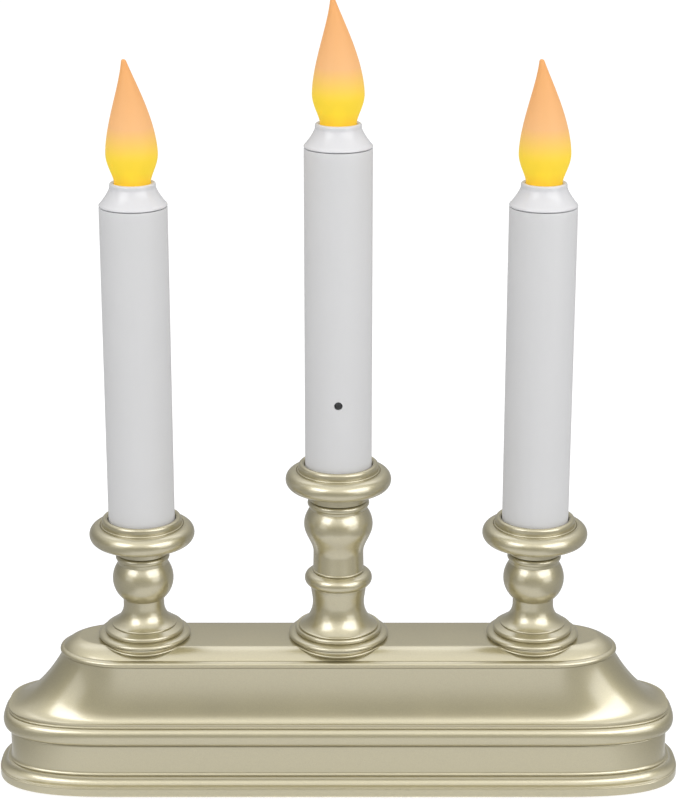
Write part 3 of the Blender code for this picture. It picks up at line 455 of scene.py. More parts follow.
def shapeTree(name, inputs):
    tree = bpy.data.node_groups.new(name, "GeometryNodeTree")
    ids = {}
    tree.interface.new_socket("Geometry", in_out="INPUT", socket_type="NodeSocketGeometry")
    for label, kind, value in inputs:
        socket = tree.interface.new_socket(label, in_out="INPUT", socket_type="NodeSocket" + kind)
        if value is not None:
            socket.default_value = value
        ids[label] = socket.identifier
    tree.interface.new_socket("Geometry", in_out="OUTPUT", socket_type="NodeSocketGeometry")
    return tree, ids, tree.nodes.new("NodeGroupInput").outputs


def endTree(tree, shape, finish):
    solid = give(tree, "GeometryNodeRealizeInstances", {0: shape})
    coloured = give(tree, "GeometryNodeSetMaterial", {0: solid, "Material": finish})
    put(tree, "NodeGroupOutput", {0: coloured})


def makeTurnedTree():
    # sweeps the profile's points round Z, one column of a grid for each step
    tree, ids, given = shapeTree("turnedPiece", [("Steps", "Int", 96), ("Finish", "Material", None)])
    profile = given["Geometry"]
    count = put(tree, "GeometryNodeAttributeDomainSize", {0: profile}).outputs["Point Count"]
    columns = calc(tree, "ADD", given["Steps"], 1.0)
    grid = give(tree, "GeometryNodeMeshGrid", {"Vertices X": columns, "Vertices Y": count})
    index = give(tree, "GeometryNodeInputIndex")
    column = calc(tree, "FLOOR", calc(tree, "DIVIDE", index, count))
    row = calc(tree, "MODULO", index, count)
    place = give(tree, "GeometryNodeInputPosition")
    point = put(tree, "GeometryNodeSampleIndex", {0: profile, 1: place, 2: row}, data_type="FLOAT_VECTOR")
    angle = calc(tree, "DIVIDE", calc(tree, "MULTIPLY", column, 2 * pi), given["Steps"])
    swept = give(tree, "ShaderNodeVectorRotate", {"Vector": point.outputs[0], "Angle": angle},
                 rotation_type="Z_AXIS")
    shape = give(tree, "GeometryNodeSetPosition", {0: grid, "Position": swept})
    for label in ("seam", "rise"):
        own = give(tree, "GeometryNodeInputNamedAttribute", {"Name": label})
        value = give(tree, "GeometryNodeSampleIndex", {0: profile, 1: own, 2: row})
        shape = give(tree, "GeometryNodeStoreNamedAttribute",
                     {0: shape, "Name": label, "Value": value})
    shape = give(tree, "GeometryNodeMergeByDistance", {0: shape, "Distance": weld["turned"]})
    endTree(tree, shape, given["Finish"])
    return tree, ids


def makeWireTree():
    # round wire along a run of points
    tree, ids, given = shapeTree("wireAlong", [
        ("Radius", "Float", 0.0005), ("Sides", "Int", 12), ("Finish", "Material", None)])
    path = give(tree, "GeometryNodeMeshToCurve", {0: given["Geometry"]})
    ring = give(tree, "GeometryNodeCurvePrimitiveCircle",
                {"Resolution": given["Sides"], "Radius": given["Radius"]})
    swept = give(tree, "GeometryNodeCurveToMesh",
                 {"Curve": path, "Profile Curve": ring, "Fill Caps": True})
    endTree(tree, swept, given["Finish"])
    return tree, ids


def makeRepeatTree():
    # one copy of a piece at each point
    tree, ids, given = shapeTree("repeatedPiece", [("Piece", "Object", None), ("Finish", "Material", None)])
    piece = put(tree, "GeometryNodeObjectInfo", {"Object": given["Piece"]}, transform_space="ORIGINAL")
    copies = give(tree, "GeometryNodeInstanceOnPoints",
                  {"Points": given["Geometry"], "Instance": piece.outputs["Geometry"]})
    endTree(tree, copies, given["Finish"])
    return tree, ids


def makeRibTree():
    # row of small rounded ribs along X, each rib running along Y
    tree, ids, given = shapeTree("gripRibs", [
        ("Count", "Int", 5), ("Pitch", "Float", 0.0016), ("Length", "Float", 0.01),
        ("Radius", "Float", 0.0004), ("Finish", "Material", None)])
    reach = calc(tree, "MULTIPLY", calc(tree, "SUBTRACT", given["Count"], 1.0), given["Pitch"])
    start = give(tree, "ShaderNodeCombineXYZ", {"X": calc(tree, "MULTIPLY", reach, -0.5)})
    step = give(tree, "ShaderNodeCombineXYZ", {"X": given["Pitch"]})
    row = give(tree, "GeometryNodeMeshLine",
               {"Count": given["Count"], "Start Location": start, "Offset": step})
    rod = put(tree, "GeometryNodeMeshCylinder",
              {"Vertices": 12, "Radius": given["Radius"], "Depth": given["Length"]}).outputs["Mesh"]
    ribs = give(tree, "GeometryNodeInstanceOnPoints", {
        "Points": row, "Instance": rod, "Rotation": (pi / 2, 0.0, 0.0)})
    endTree(tree, ribs, given["Finish"])
    return tree, ids


turnedTree = makeTurnedTree()
wireTree = makeWireTree()
repeatTree = makeRepeatTree()
ribTree = makeRibTree()
print("node trees ready")


def growMesh(name, source, treeAndIds, values):
    # runs a tree on a mesh and returns the result as a plain mesh
    tree, ids = treeAndIds
    carrier = bpy.data.objects.new(name + "Source", source)
    scene.collection.objects.link(carrier)
    step = carrier.modifiers.new("shape", "NODES")
    step.node_group = tree
    for label, value in values.items():
        step[ids[label]] = value
    graph = bpy.context.evaluated_depsgraph_get()
    mesh = bpy.data.meshes.new_from_object(carrier.evaluated_get(graph))
    mesh.name = name
    carrier.modifiers.remove(step)
    bpy.data.objects.remove(carrier)
    return mesh


def tidyMesh(mesh, sharp=38.0):
    bm = bmesh.new()
    bm.from_mesh(mesh)
    bmesh.ops.dissolve_degenerate(bm, dist=weld["thin"], edges=bm.edges)
    bmesh.ops.recalc_face_normals(bm, faces=bm.faces)
    bm.to_mesh(mesh)
    bm.free()
    mesh.shade_smooth()
    mesh.set_sharp_from_angle(angle=radians(sharp))
    return mesh


def addPiece(name, mesh):
    piece = bpy.data.objects.new(name, mesh)
    scene.collection.objects.link(piece)
    return piece


def settle(piece, body, slot, *replaced):
    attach(piece, body)
    if replaced:
        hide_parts(*replaced)
    return piece


def settleMesh(mesh, body, slot, *replaced):
    return settle(addPiece(mesh.name, mesh), body, slot, *replaced)


def arc(centre, radii, start, end, steps=10):
    angles = [radians(start + (end - start) * i / steps) for i in range(steps + 1)]
    return [(centre[0] + radii[0] * cos(a), centre[1] + radii[1] * sin(a)) for a in angles]


def blend(a, b, share):
    return a + (b - a) * share


crease = {
    # degrees at which a corner starts to shade and shades fully, and the shade's width in mm
    "least": 24.0, "full": 70.0, "width": 0.25,
    # spacing of points in mm on the flats and by a corner, how near that is, and the most parts
    "spacing": 1.1, "close": 0.22, "near": 0.9, "far": 99.0, "most": 40,
}


def hollows(profile, closed):
    # sharp inward corners of a profile that runs clockwise, with the strength of the painted shade they get
    found = []
    count = len(profile)
    for i in range(count if closed else count - 2):
        a, b, c = (profile[(i + k) % count] for k in range(3))
        u, v = (b[0] - a[0], b[1] - a[1]), (c[0] - b[0], c[1] - b[1])
        size = hypot(*u) * hypot(*v)
        if size < 1e-9:
            continue
        bend = degrees(acos(max(-1.0, min(1.0, (u[0] * v[0] + u[1] * v[1]) / size))))
        if u[0] * v[1] - u[1] * v[0] > 0 and bend > crease["least"]:
            found.append((b, min(1.0, bend / crease["full"])))
    return found


# painted shade falling off from the nearest inward corner
def grooveShadeAt(point, corners):
    return max([power * exp(-(hypot(point[0] - c[0], point[1] - c[1]) / crease["width"]) ** 2)
                for c, power in corners] + [0.0])


def refine(profile, corners, closed):
    # extra points, closer together by the grooves
    points = []
    count = len(profile)
    for i in range(count if closed else count - 1):
        a, b = profile[i], profile[(i + 1) % count]
        middle = ((a[0] + b[0]) / 2, (a[1] + b[1]) / 2)
        length = hypot(b[0] - a[0], b[1] - a[1])
        near = min([hypot(middle[0] - c[0], middle[1] - c[1]) for c, _ in corners] + [crease["far"]])
        gap = crease["close"] if near < length / 2 + crease["near"] else crease["spacing"]
        parts = min(max(1, round(length / gap)), crease["most"])
        points += [(blend(a[0], b[0], k / parts), blend(a[1], b[1], k / parts)) for k in range(parts)]
    return points + ([profile[0]] if closed else [profile[-1]])


def turn(name, profile, place, finish, steps=96, closed=True, span=None, tilt=None, lean=None):
    # profile in mm as (radius, height): down the outer side, then back up the bore
    corners = hollows(profile, closed)
    points = refine(profile, corners, closed)
    source = bpy.data.meshes.new(name + "Profile")
    source.from_pydata([(r * mm, 0.0, z * mm) for r, z in points],
                       [(i, i + 1) for i in range(len(points) - 1)], [])
    low, high = span or (0.0, 1.0)
    # painted shade in the grooves, and the share of the height
    shades = {"seam": [grooveShadeAt(p, corners) for p in points],
              "rise": [max(0.0, min(1.0, (p[1] - low) / (high - low))) for p in points]}
    for label, values in shades.items():
        source.attributes.new(label, "FLOAT", "POINT").data.foreach_set("value", values)
    mesh = growMesh(name, source, turnedTree, {"Steps": steps, "Finish": finishes[finish]})
    if lean:
        for vert in mesh.vertices:
            vert.co.x += lean(vert.co.z / mm) * mm
    mesh.transform(Matrix.Translation(Vector(place)) @ (tilt or Matrix()))
    return tidyMesh(mesh)


def bmRod(bm, x, y, radius, low, high, sides=32):
    made = bmesh.ops.create_cone(bm, cap_ends=True, segments=sides, radius1=radius * mm,
                                 radius2=radius * mm, depth=(high - low) * mm)
    bmesh.ops.translate(bm, vec=(x * mm, y * mm, (low + high) / 2 * mm), verts=made["verts"])
    return made["verts"]


def fourPlaces(x, y, z):
    return [(sx * x, sy * y, z) for sx in (-1, 1) for sy in (-1, 1)]


def bmBlock(bm, low, high):
    made = bmesh.ops.create_cube(bm, size=1.0)
    for vert in made["verts"]:
        vert.co = Vector([low[i] + (vert.co[i] + 0.5) * (high[i] - low[i]) for i in range(3)]) * mm
    return made["verts"]


def carve(mesh, tools, operation="DIFFERENCE"):
    # boolean with everything in one bmesh
    tool = bpy.data.meshes.new("tool")
    tools.to_mesh(tool)
    tools.free()
    piece, cutter = addPiece("carved", mesh), addPiece("cutter", tool)
    step = piece.modifiers.new("carve", "BOOLEAN")
    step.operation = operation
    step.solver = "EXACT"
    step.object = cutter
    graph = bpy.context.evaluated_depsgraph_get()
    result = bpy.data.meshes.new_from_object(piece.evaluated_get(graph))
    result.name = mesh.name
    bpy.data.objects.remove(piece)
    bpy.data.objects.remove(cutter)
    return result


# base shell, sizes in mm
base = {
    "length": 252.8, "depth": 52.8, "cornerLength": 45.8, "cornerDepth": 25.9, "cornerPower": 2.7,
    "rim": 0.8, "fascia": 8.4, "bead": 19.4, "cove": 28.0, "ledge": 48.2, "groove": 50.6,
    "step": 4.0, "recess": 0.4, "bulge": 2.1, "runFront": 4.6, "runEnd": 20.5, "endHollow": 0.58,
    "coveCorner": 24.5, "covePower": 2.0, "ledgeOut": 0.8, "ledgeWidth": 2.1, "edgeWidth": 5.8,
    "edgeTop": 14.0, "edgeBottom": 47.0, "edgeFlat": 0.4, "endReach": 0.7, "endFlat": 0.5, "wall": 2.2,
    "cornerSteps": 28, "rebate": 4.3, "rebateIn": 4.8, "grooveShade": 0.25,
    # heights of the grooves that get painted shade
    "grooves": [50.35, 48.1, 27.1, 26.2, 19.4, 7.55, 4.3],
    # fine lines down the front, as (inset, height)
    "creaseLine": [(0.04, 50.35), (0.25, 50.58)], "noseOut": 0.6,
    "noseLine": [(0.02, 27.75), (0.07, 27.5), (0.16, 27.2), (0.18, 27.0)],
    "fasciaLine": [(0.45, 19.6), (0.5, 19.25), (0.1, 19.05), (0.0, 18.85)],
    "bandLine": [(0.46, 4.5), (0.44, 4.42), (0.52, 4.3), (0.40, 4.18), (0.12, 4.1), (0.0, 3.9), (0.0, 1.3),
                 (0.1, 0.97)],
    "padLow": 52.6, "padFlange": 53.1, "padTop": 54.5, "padRim": 0.2, "padTaper": 0.45, "padRise": 0.88,
    "padUnder": [(0.9, 0.7), (2.2, 1.0)], "padInset": 0.16, "padPower": 1.6, "padLift": 0.12, "padRound": 0.4,
    "padReach": 0.8, "padFade": 0.6, "padSteps": 8,
}
edgeTop, edgeBottom = radians(base["edgeTop"]), radians(base["edgeBottom"])
edgeRadius = base["edgeWidth"] / (sin(edgeBottom) - sin(edgeTop))
base["deck"] = base["groove"] + edgeRadius * (cos(edgeTop) - cos(edgeBottom))
candle = {"spacing": 71.5, "sideFoot": 16.9, "centreFoot": 18.3, "bore": 4.0}
candleAt = {"left": -candle["spacing"], "centre": 0.0, "right": candle["spacing"]}


def roundedOutline(halfLength, halfDepth, cornerLength, cornerDepth, power, z):
    cornerDepth = min(cornerDepth, halfDepth - base["endFlat"])
    cx, cy = halfLength - cornerLength, halfDepth - cornerDepth
    points = []
    for quarter, (sx, sy) in enumerate(((1, 1), (-1, 1), (-1, -1), (1, -1))):
        for i in range(base["cornerSteps"] + 1):
            a = pi / 2 * (quarter + i / base["cornerSteps"])
            x = cx + cornerLength * abs(cos(a)) ** (2 / power)
            y = cy + cornerDepth * abs(sin(a)) ** (2 / power)
            points.append(Vector((sx * x, sy * y, z)))
    return points


def lowerOutline(inset, z):
    return roundedOutline(base["length"] / 2 - inset, base["depth"] / 2 - inset,
                          base["cornerLength"] - inset, base["cornerDepth"] - inset, base["cornerPower"], z)


def coveOutline(frontShare, endShare, inset, z):
    # shares of the cove's run, 0 at its top and 1 at its lip
    front = base["step"] + base["runFront"] * (1 - frontShare) + inset
    end = base["step"] + base["runEnd"] * (1 - endShare) + inset
    cornerLength = blend(base["coveCorner"], base["cornerLength"] - base["step"], endShare) - inset
    topDepth = base["depth"] / 2 - base["step"] - base["runFront"] - base["endFlat"]
    cornerDepth = blend(topDepth, base["cornerDepth"] - base["step"], endShare) - inset
    power = blend(base["covePower"], base["cornerPower"], endShare)
    return roundedOutline(base["length"] / 2 - end, base["depth"] / 2 - front,
                          cornerLength, cornerDepth, power, z)


def covePoints(steps):
    drop = base["ledge"] - base["cove"]
    angles = [radians(90.0 * i / steps) for i in range(steps + 1)]
    return [(1 - cos(a), (1 - cos(a)) ** base["endHollow"], base["ledge"] - drop * sin(a)) for a in angles]


def deckRings(grooveIn):
    # a narrow flat first, so that the crease stays crisp, then the sloping edge
    reach = base["endReach"] / base["runEnd"]
    top, bottom = base["edgeTop"], base["edgeBottom"]
    start = edgeRadius * sin(edgeTop)
    centre = base["deck"] - edgeRadius * cos(edgeTop)
    rings = [coveOutline(0.0, reach, grooveIn + base["edgeWidth"] + base["edgeFlat"], base["deck"])]
    for r, z in arc((0.0, centre), (edgeRadius, edgeRadius), 90 - top, 90 - bottom, 14):
        rings.append(coveOutline(0.0, reach, grooveIn + base["edgeWidth"] + start - r, z))
    return rings


def lowerProfile():
    # nose of the cove, thin line, bead, fascia, thin line, small cove, ledge and band, as (inset, height)
    step = base["step"]
    points = [(step + inset, z) for inset, z in base["noseLine"]]
    points += [(step + 0.10 - r, z) for r, z in arc((0.0, 26.58), (0.26, 0.34), 70, -70, 8)]
    points += [(step - 0.02, 26.26)]
    points += [(step - r, z) for r, z in arc((0.0, 22.95), (base["bulge"], 3.3), 82, -80, 20)]
    fascia = step + base["recess"]
    points += [(fascia + inset, z) for inset, z in base["fasciaLine"]]
    points += [(fascia - 0.9 - r, z) for r, z in arc((0.0, 9.2), (0.9, 1.3), 180, 255, 8)]
    points += [(fascia - 0.68, 7.82), (fascia - 0.45, 7.7)]
    points += [(step + 0.05, 7.56), (step - 0.1, 7.46), (3.3, 7.4)]
    points += [(-0.40 - r, z) for r, z in arc((0.0, 7.3), (3.5, 2.85), 180, 255, 14)]
    return points + base["bandLine"] + [(0.35, base["rim"])]


def shellRings():
    grooveIn = base["ledgeWidth"] - base["ledgeOut"]
    outer = deckRings(grooveIn)
    outer += [coveOutline(0.0, 0.0, grooveIn - inset, z) for inset, z in base["creaseLine"]]
    half = (base["groove"] - base["ledge"]) / 2
    nose = base["ledge"] + half
    outer += [coveOutline(0.0, 0.0, half + base["noseOut"] - base["ledgeOut"] - r, z)
              for r, z in arc((0.0, nose), (half + base["noseOut"], half), 84, 0, 10)]
    outer += [coveOutline(0.0, 0.0, half - base["ledgeOut"] - r, z)
              for r, z in arc((0.0, nose), (half, half), -8, -72, 7)]
    outer.append(coveOutline(0.0, 0.0, 0.3, base["ledge"]))
    outer += [coveOutline(front, end, 0.0, z) for front, end, z in covePoints(28)]
    outer += [lowerOutline(inset, z) for inset, z in lowerProfile()]
    wall = base["wall"]
    inset = base["step"] + base["recess"]
    inner = [lowerOutline(wall, base["rim"]), lowerOutline(wall, base["rebate"]),
             lowerOutline(base["rebateIn"], base["rebate"]), lowerOutline(inset + wall, base["fascia"])]
    inner += [coveOutline(front, end, wall, z - wall) for front, end, z in reversed(covePoints(8))]
    inner.append(coveOutline(0.0, 0.0, grooveIn + wall, nose))
    inner.append(coveOutline(0.0, 0.0, grooveIn + base["edgeWidth"], base["deck"] - wall))
    return outer, inner


def fillRings(rings, spacing=0.45):
    # more rings on the long flats, so that shading by the grooves stays local
    filled = [rings[0]]
    for a, b in zip(rings, rings[1:]):
        parts = max(1, round((b[0] - a[0]).length / spacing))
        filled += [[p.lerp(q, k / parts) for p, q in zip(a, b)] for k in range(1, parts + 1)]
    return filled


def loft(name, rings):
    bm = bmesh.new()
    levels = [[bm.verts.new(point * mm) for point in ring] for ring in rings]
    for upper, lower in zip(levels, levels[1:]):
        for i in range(len(upper)):
            j = (i + 1) % len(upper)
            bm.faces.new((upper[i], upper[j], lower[j], lower[i]))
    bm.faces.new(levels[0])
    bm.faces.new(levels[-1])
    bmesh.ops.remove_doubles(bm, verts=bm.verts, dist=weld["loft"])
    bmesh.ops.recalc_face_normals(bm, faces=bm.faces)
    mesh = bpy.data.meshes.new(name)
    bm.to_mesh(mesh)
    bm.free()
    return mesh


underside = {
    "plateLow": 2.0, "plateHigh": 4.0, "wellLength": 79.55, "wellDepth": 13.7, "wellTop": 30.9,
    "wellRoof": 33.1, "screwX": 86.85, "screwY": 17.5, "bossRadius": 3.1, "screwRadius": 1.3,
    "stemScrew": 8.0, "footX": 110.0, "footY": 9.0, "footRadius": 4.0, "switchX": 104.0,
    "boardScrewX": 18.8, "leadX": 78.25, "hingeY": 13.1, "doorThick": 1.8, "notch": 6.0,
    "ribs": 6, "ribPitch": 1.6, "ribLength": 14.0, "ribRadius": 0.4, "ribY": -2.0, "ribSink": 0.15,
    "stemHoleDeep": 6.0, "holePlay": 0.2, "bossHoleTop": 12.3, "sink": 0.3, "through": 1.0,
    "hingeRoom": 0.9, "postRise": 2.8, "postSink": 0.5, "boardHole": (32.9, 38.0), "leadHole": 1.6,
    "slotX": 3.8, "slotY": 1.6, "doorBevel": 0.25, "contactBevel": 0.12,
}


def padProfile(foot):
    # the foot's rounded side runs on down to a thin rim that overhangs the deck's edge
    low, flange, top = base["padLow"], base["padFlange"], base["padTop"]
    rim, half = foot + base["padRim"], (flange - low) / 2
    points = [(0.0, top)]
    for i in range(base["padSteps"] + 1):
        share = i / base["padSteps"]
        radius = foot - base["padInset"] - base["padTaper"] * share ** base["padPower"]
        points.append((radius, blend(top, flange + base["padLift"], share)))
    points += arc((rim - base["padRound"], low + half), (base["padRound"], half), 90, -90, 8)
    under = [(foot - inset, low - drop) for inset, drop in base["padUnder"]]
    return points + under + [(0.0, under[-1][1])]


def makeBaseShell():
    outer, inner = shellRings()
    mesh = loft("base_shell_skin", fillRings(outer) + inner)
    padTop = base["padTop"]
    pads = bmesh.new()
    for side, x in candleAt.items():
        foot = candle["centreFoot"] if side == "centre" else candle["sideFoot"]
        pad = turn("pad", padProfile(foot), (x * mm, 0.0, 0.0), "champagnePaint", 120, closed=False)
        for vertex in pad.vertices:
            spot = vertex.co / mm
            if hypot(spot.x - x, spot.y) > foot - base["padReach"]:
                # the rim keeps to the deck's edge as it runs round the foot
                share = min(1.0, (padTop - spot.z) / (padTop - base["padFlange"]))
                fade = min(1.0, max(0.0, 1 - (spot.y / foot) ** 2) / base["padFade"])
                vertex.co.z += base["padRise"] * share * fade * mm
        pads.from_mesh(pad)
    screwHole = underside["screwRadius"] + underside["holePlay"]
    holeLow, holeHigh = base["deck"] - underside["stemHoleDeep"], padTop + underside["through"]
    bosses = fourPlaces(underside["screwX"], underside["screwY"], base["rebate"])
    for x, y, low in bosses:
        bmRod(pads, x, y, underside["bossRadius"], low, base["bead"])
    mesh = carve(mesh, pads, "UNION")
    holes = bmesh.new()
    for x in candleAt.values():
        bmRod(holes, x, 0.0, candle["bore"], holeLow, holeHigh)
        for sx in (-1, 1):
            bmRod(holes, x + sx * underside["stemScrew"], 0.0, screwHole, holeLow, holeHigh, 16)
    for x, y, low in bosses:
        bmRod(holes, x, y, screwHole, low - underside["sink"], underside["bossHoleTop"], 16)
    mesh = carve(mesh, holes)
    # painted shade at the heights of the grooves
    grooveShades = [max(exp(-((v.co.z / mm - g) / base["grooveShade"]) ** 2) for g in base["grooves"])
             for v in mesh.vertices]
    for label in ("seam", "rise"):
        if label in mesh.attributes:
            mesh.attributes.remove(mesh.attributes[label])
    mesh.attributes.new("seam", "FLOAT", "POINT").data.foreach_set("value", grooveShades)
    mesh.materials.clear()
    mesh.materials.append(finishes["champagnePaint"])
    shell = addPiece("base_shell_skin", tidyMesh(mesh, 32.0))
    return settle(shell, "candelabra", "champagne_paint", "base_shell")


makeBaseShell()
print("base shell done")

# turned holders
holder = {
    "left": {"height": 32.0, "foot": 16.9, "waist": 7.45, "bulb": 11.1, "bulbBelow": 9.7, "bulbRound": 10.4,
             "bulbEnd": -48.0, "neck": 9.8, "flare": 6.75, "ring": (12.0, 4.8)},
    "centre": {"height": 52.8, "foot": 18.3, "waist": 9.4, "bulb": 12.5, "bulbBelow": 9.5, "neck": 11.2,
               "flare": 8.95, "ring": (14.4, 3.7),
               "slim": 9.1, "bead": 12.3, "beadThick": 5.2, "beadAt": 22.4, "underBead": 10.1},
    "footBand": 1.8, "footSpread": 2.4, "footBead": 1.9, "footRing": 0.7, "flareTurn": 58.0,
    "bandLow": 0.6, "beadFillet": (0.5, 0.42), "beadFilletAt": 0.75, "underDrop": 1.08,
    "bulbUpper": 10.6, "bulbLower": 10.8, "bulbAngle": 35.0, "neckRing": 2.6,
    "spigot": 6.2, "spigotLength": 4.0, "play": 0.2, "gap": 0.3,
}
holder["right"] = holder["left"]


def easeDown(top, bottom, steps):
    # soft S from one radius to another
    points = []
    for i in range(steps + 1):
        share = i / steps
        radius = bottom[0] + (top[0] - bottom[0]) * (1 + cos(pi * share)) / 2
        points.append((radius, blend(top[1], bottom[1], share)))
    return points


def footProfile(size):
    # hollow flare, thin ring, bead and rounded band
    radius, waist = size["foot"], size["waist"]
    spread, band = holder["footSpread"], holder["footBand"]
    bead = holder["footBead"] / 2
    ring = holder["footRing"] / 2
    ringAt = (size["ring"][0] - ring, size["ring"][1])
    turned = radians(holder["flareTurn"])
    reach = (ringAt[0] - waist) / (1 - cos(turned))
    drop = size["flare"] / sin(turned)
    flareTop = ringAt[1] + ring + size["flare"]
    points = arc((waist + reach, flareTop), (-reach, -drop), 0, holder["flareTurn"], 20)
    points += arc(ringAt, (ring, ring), 60, -60, 8)
    points += arc((radius - spread - bead, band + bead), (bead, bead), 70, -60, 14)
    low = holder["bandLow"]
    return points + arc((radius - spread, low), (spread, band - low), 80, -22, 14)


def stemProfile(size):
    height, neck, bulb = size["height"], size["neck"], size["bulb"]
    ring = holder["neckRing"] / 2
    bulbZ = height - size["bulbBelow"]
    points = arc((neck - ring, height - ring), (ring, ring), 90, -60, 12)
    points += arc((0.0, bulbZ), (bulb, holder["bulbUpper"]), holder["bulbAngle"], 3, 10)
    if "bead" not in size:
        points += arc((0.0, bulbZ), (bulb, size["bulbRound"]), 0, size["bulbEnd"], 14)
    else:
        slim = size["slim"]
        points += easeDown((bulb, bulbZ), (slim, bulbZ - holder["bulbLower"]), 18)
        half = size["beadThick"] / 2
        filletZ = size["beadAt"] + half + holder["beadFilletAt"]
        points += arc((slim, filletZ), holder["beadFillet"], 75, -75, 8)
        points += arc((size["bead"] - half, size["beadAt"]), (half, half), 75, -78, 16)
        flareTop = size["ring"][1] + holder["footRing"] / 2 + size["flare"]
        under = (size["underBead"], size["beadAt"] - half * holder["underDrop"])
        points += easeDown(under, (size["waist"], flareTop), 8)[:-1]
    points += footProfile(size)
    socket = holder["spigot"] + holder["play"]
    depth = height - holder["spigotLength"] - holder["gap"]
    bore = candle["bore"]
    return points + [(bore, 0.0), (bore, depth), (socket, depth), (socket, height)]


cup = {"neckHeight": 7.4, "ring": 19.1, "ringThick": 6.9, "beadWidth": 2.2, "beadRise": 6.3, "floor": 6.0,
       "beadFoot": (-0.05, 0.25), "rollAt": (0.2, -0.05), "roll": 0.4, "rollFoot": (0.68, -0.35)}
tube = {"radius": 12.0, "wall": 1.2, "length": 122.3, "edge": 0.25}


def cupProfile(size):
    neck = size["neck"] - holder["gap"]
    ring = cup["ringThick"] / 2
    ringZ = cup["neckHeight"]
    core = cup["ring"] - ring
    bore = tube["radius"] + holder["play"]
    bead = cup["beadWidth"] / 2
    points = arc((bore + bead, ringZ + cup["beadRise"] - bead), (bead, bead), 150, 0, 12)
    foot, rollAt, rollFoot = ((bore + cup["beadWidth"] + out, ringZ + ring + up)
                              for out, up in (cup["beadFoot"], cup["rollAt"], cup["rollFoot"]))
    points += [foot] + arc(rollAt, (cup["roll"], cup["roll"]), 100, -20, 6) + [rollFoot]
    points += arc((core, ringZ), (ring, ring), 96, -70, 26)
    points += [(neck + ring / 3, ringZ - ring), (neck, ringZ - ring * 1.4), (neck, 0.0)]
    spigot, bored = holder["spigot"], candle["bore"]
    points += [(spigot, 0.0), (spigot, -holder["spigotLength"]), (bored, -holder["spigotLength"])]
    return points + [(bored, cup["floor"]), (bore, cup["floor"])]


def bottomOf(node):
    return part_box(node)[0].z


for side, x in candleAt.items():
    size = holder[side]
    stem = turn(f"stem_{side}_turned", stemProfile(size), (x * mm, 0.0, bottomOf("stem_" + side)),
                "champagnePaint", 112)
    settleMesh(stem, "candelabra", "champagne_paint", "stem_" + side)
    cupZ = bottomOf("cup_" + side) + holder["spigotLength"] * mm
    cupMesh = turn(f"cup_{side}_turned", cupProfile(size), (x * mm, 0.0, cupZ), "champagnePaint", 112)
    settleMesh(cupMesh, "candelabra", "champagne_paint", "cup_" + side)
print("holders and cups done")

# candle tubes, collars, lights and flames
collar = {"height": 8.3, "top": 8.1, "lip": 1.6, "shoulder": 1.0, "bore": 6.6, "ledge": 1.6, "plug": 5.0,
          "seatDepth": 7.0, "taperPower": 1.35, "taperSteps": 14, "round": 0.12}
flame = {"height": 42.8, "radius": 9.1, "wall": 1.5, "lean": 2.0, "leanPower": 3.2, "belly": 0.235,
         "waist": 0.70, "plugLow": -3.9, "hollowTop": 0.5, "hollowDome": 6.0, "bellyPower": 1.5,
         "tipPower": 0.85, "tipSwell": 0.08, "tipSwellPower": 6, "tipShare": 0.99, "tipAt": 0.985,
         "tipRise": 0.015, "steps": 60, "hollowSteps": 30}
sensor = {"height": 146.1, "radius": 1.3, "hole": 1.5, "bevel": 0.35, "flange": 0.8, "depth": 3.0,
          "cutFrom": 9.0, "cutTo": 14.0, "sides": 40, "flareShare": 0.9, "flareDepth": 0.9, "flareOut": 0.05}


def tubeProfile():
    outer, inner = tube["radius"], tube["radius"] - tube["wall"]
    edge = tube["edge"]
    return ([(inner, tube["length"])] + arc((outer - edge, tube["length"] - edge), (edge, edge), 90, 0, 5)
            + [(outer, 0.0), (inner, 0.0)])


def collarProfile():
    bend = collar["shoulder"]
    taperTop = collar["height"] - collar["lip"]
    lip = (collar["top"] - collar["bore"]) / 2
    points = [(collar["bore"], collar["height"] - lip * 0.3)]
    points += arc((collar["top"] - lip, collar["height"] - lip), (lip, lip), 110, 0, 10)
    for i in range(collar["taperSteps"] + 1):
        share = i / collar["taperSteps"]
        radius = blend(collar["top"], tube["radius"] - bend / 2, share ** collar["taperPower"])
        points.append((radius, blend(taperTop, bend, share)))
    outer = tube["radius"]
    points += [(outer - bend * 0.2, bend * 0.75), (outer, bend * 0.4)]
    points += [(outer, collar["round"]), (outer - collar["round"], 0.0)]
    plug = outer - tube["wall"] - holder["play"]
    ledge = collar["bore"] - collar["ledge"]
    seat = collar["height"] - collar["seatDepth"]
    points += [(plug, 0.0), (plug, -collar["plug"]), (ledge, -collar["plug"])]
    return points + [(ledge, seat), (collar["bore"], seat)]


def flameRadius(share):
    belly = flame["belly"]
    if share < belly:
        swell = sin(pi / 2 * share / belly) ** flame["bellyPower"]
        return flame["radius"] * blend(flame["waist"], 1.0, swell)
    rise = (share - belly) / (1 - belly)
    swell = flame["tipSwell"] * rise ** flame["tipSwellPower"]
    return flame["radius"] * (cos(pi / 2 * rise ** flame["tipPower"]) + swell)


def flameProfile():
    height, wall = flame["height"], flame["wall"]
    tip, steps = flameRadius(flame["tipShare"]), flame["steps"]
    points = arc((0.0, height * flame["tipAt"]), (tip, height * flame["tipRise"]), 90, 10, 6)
    points += [(flameRadius(s / steps), height * s / steps) for s in range(steps - 1, 0, -1)]
    plug = min(collar["bore"] - holder["play"], flameRadius(0.0))
    points += [(plug, 0.0), (plug, flame["plugLow"]), (flameRadius(0.0) - wall, flame["plugLow"])]
    top, steps = flame["hollowTop"], flame["hollowSteps"]
    points += [(flameRadius(top * s / steps) - wall, height * top * s / steps) for s in range(steps + 1)]
    return points + arc((0.0, height * top), (flameRadius(top) - wall, flame["hollowDome"]), 10, 90, 8)


def flameLean(z):
    return -flame["lean"] * max(0.0, min(1.0, z / flame["height"])) ** flame["leanPower"]


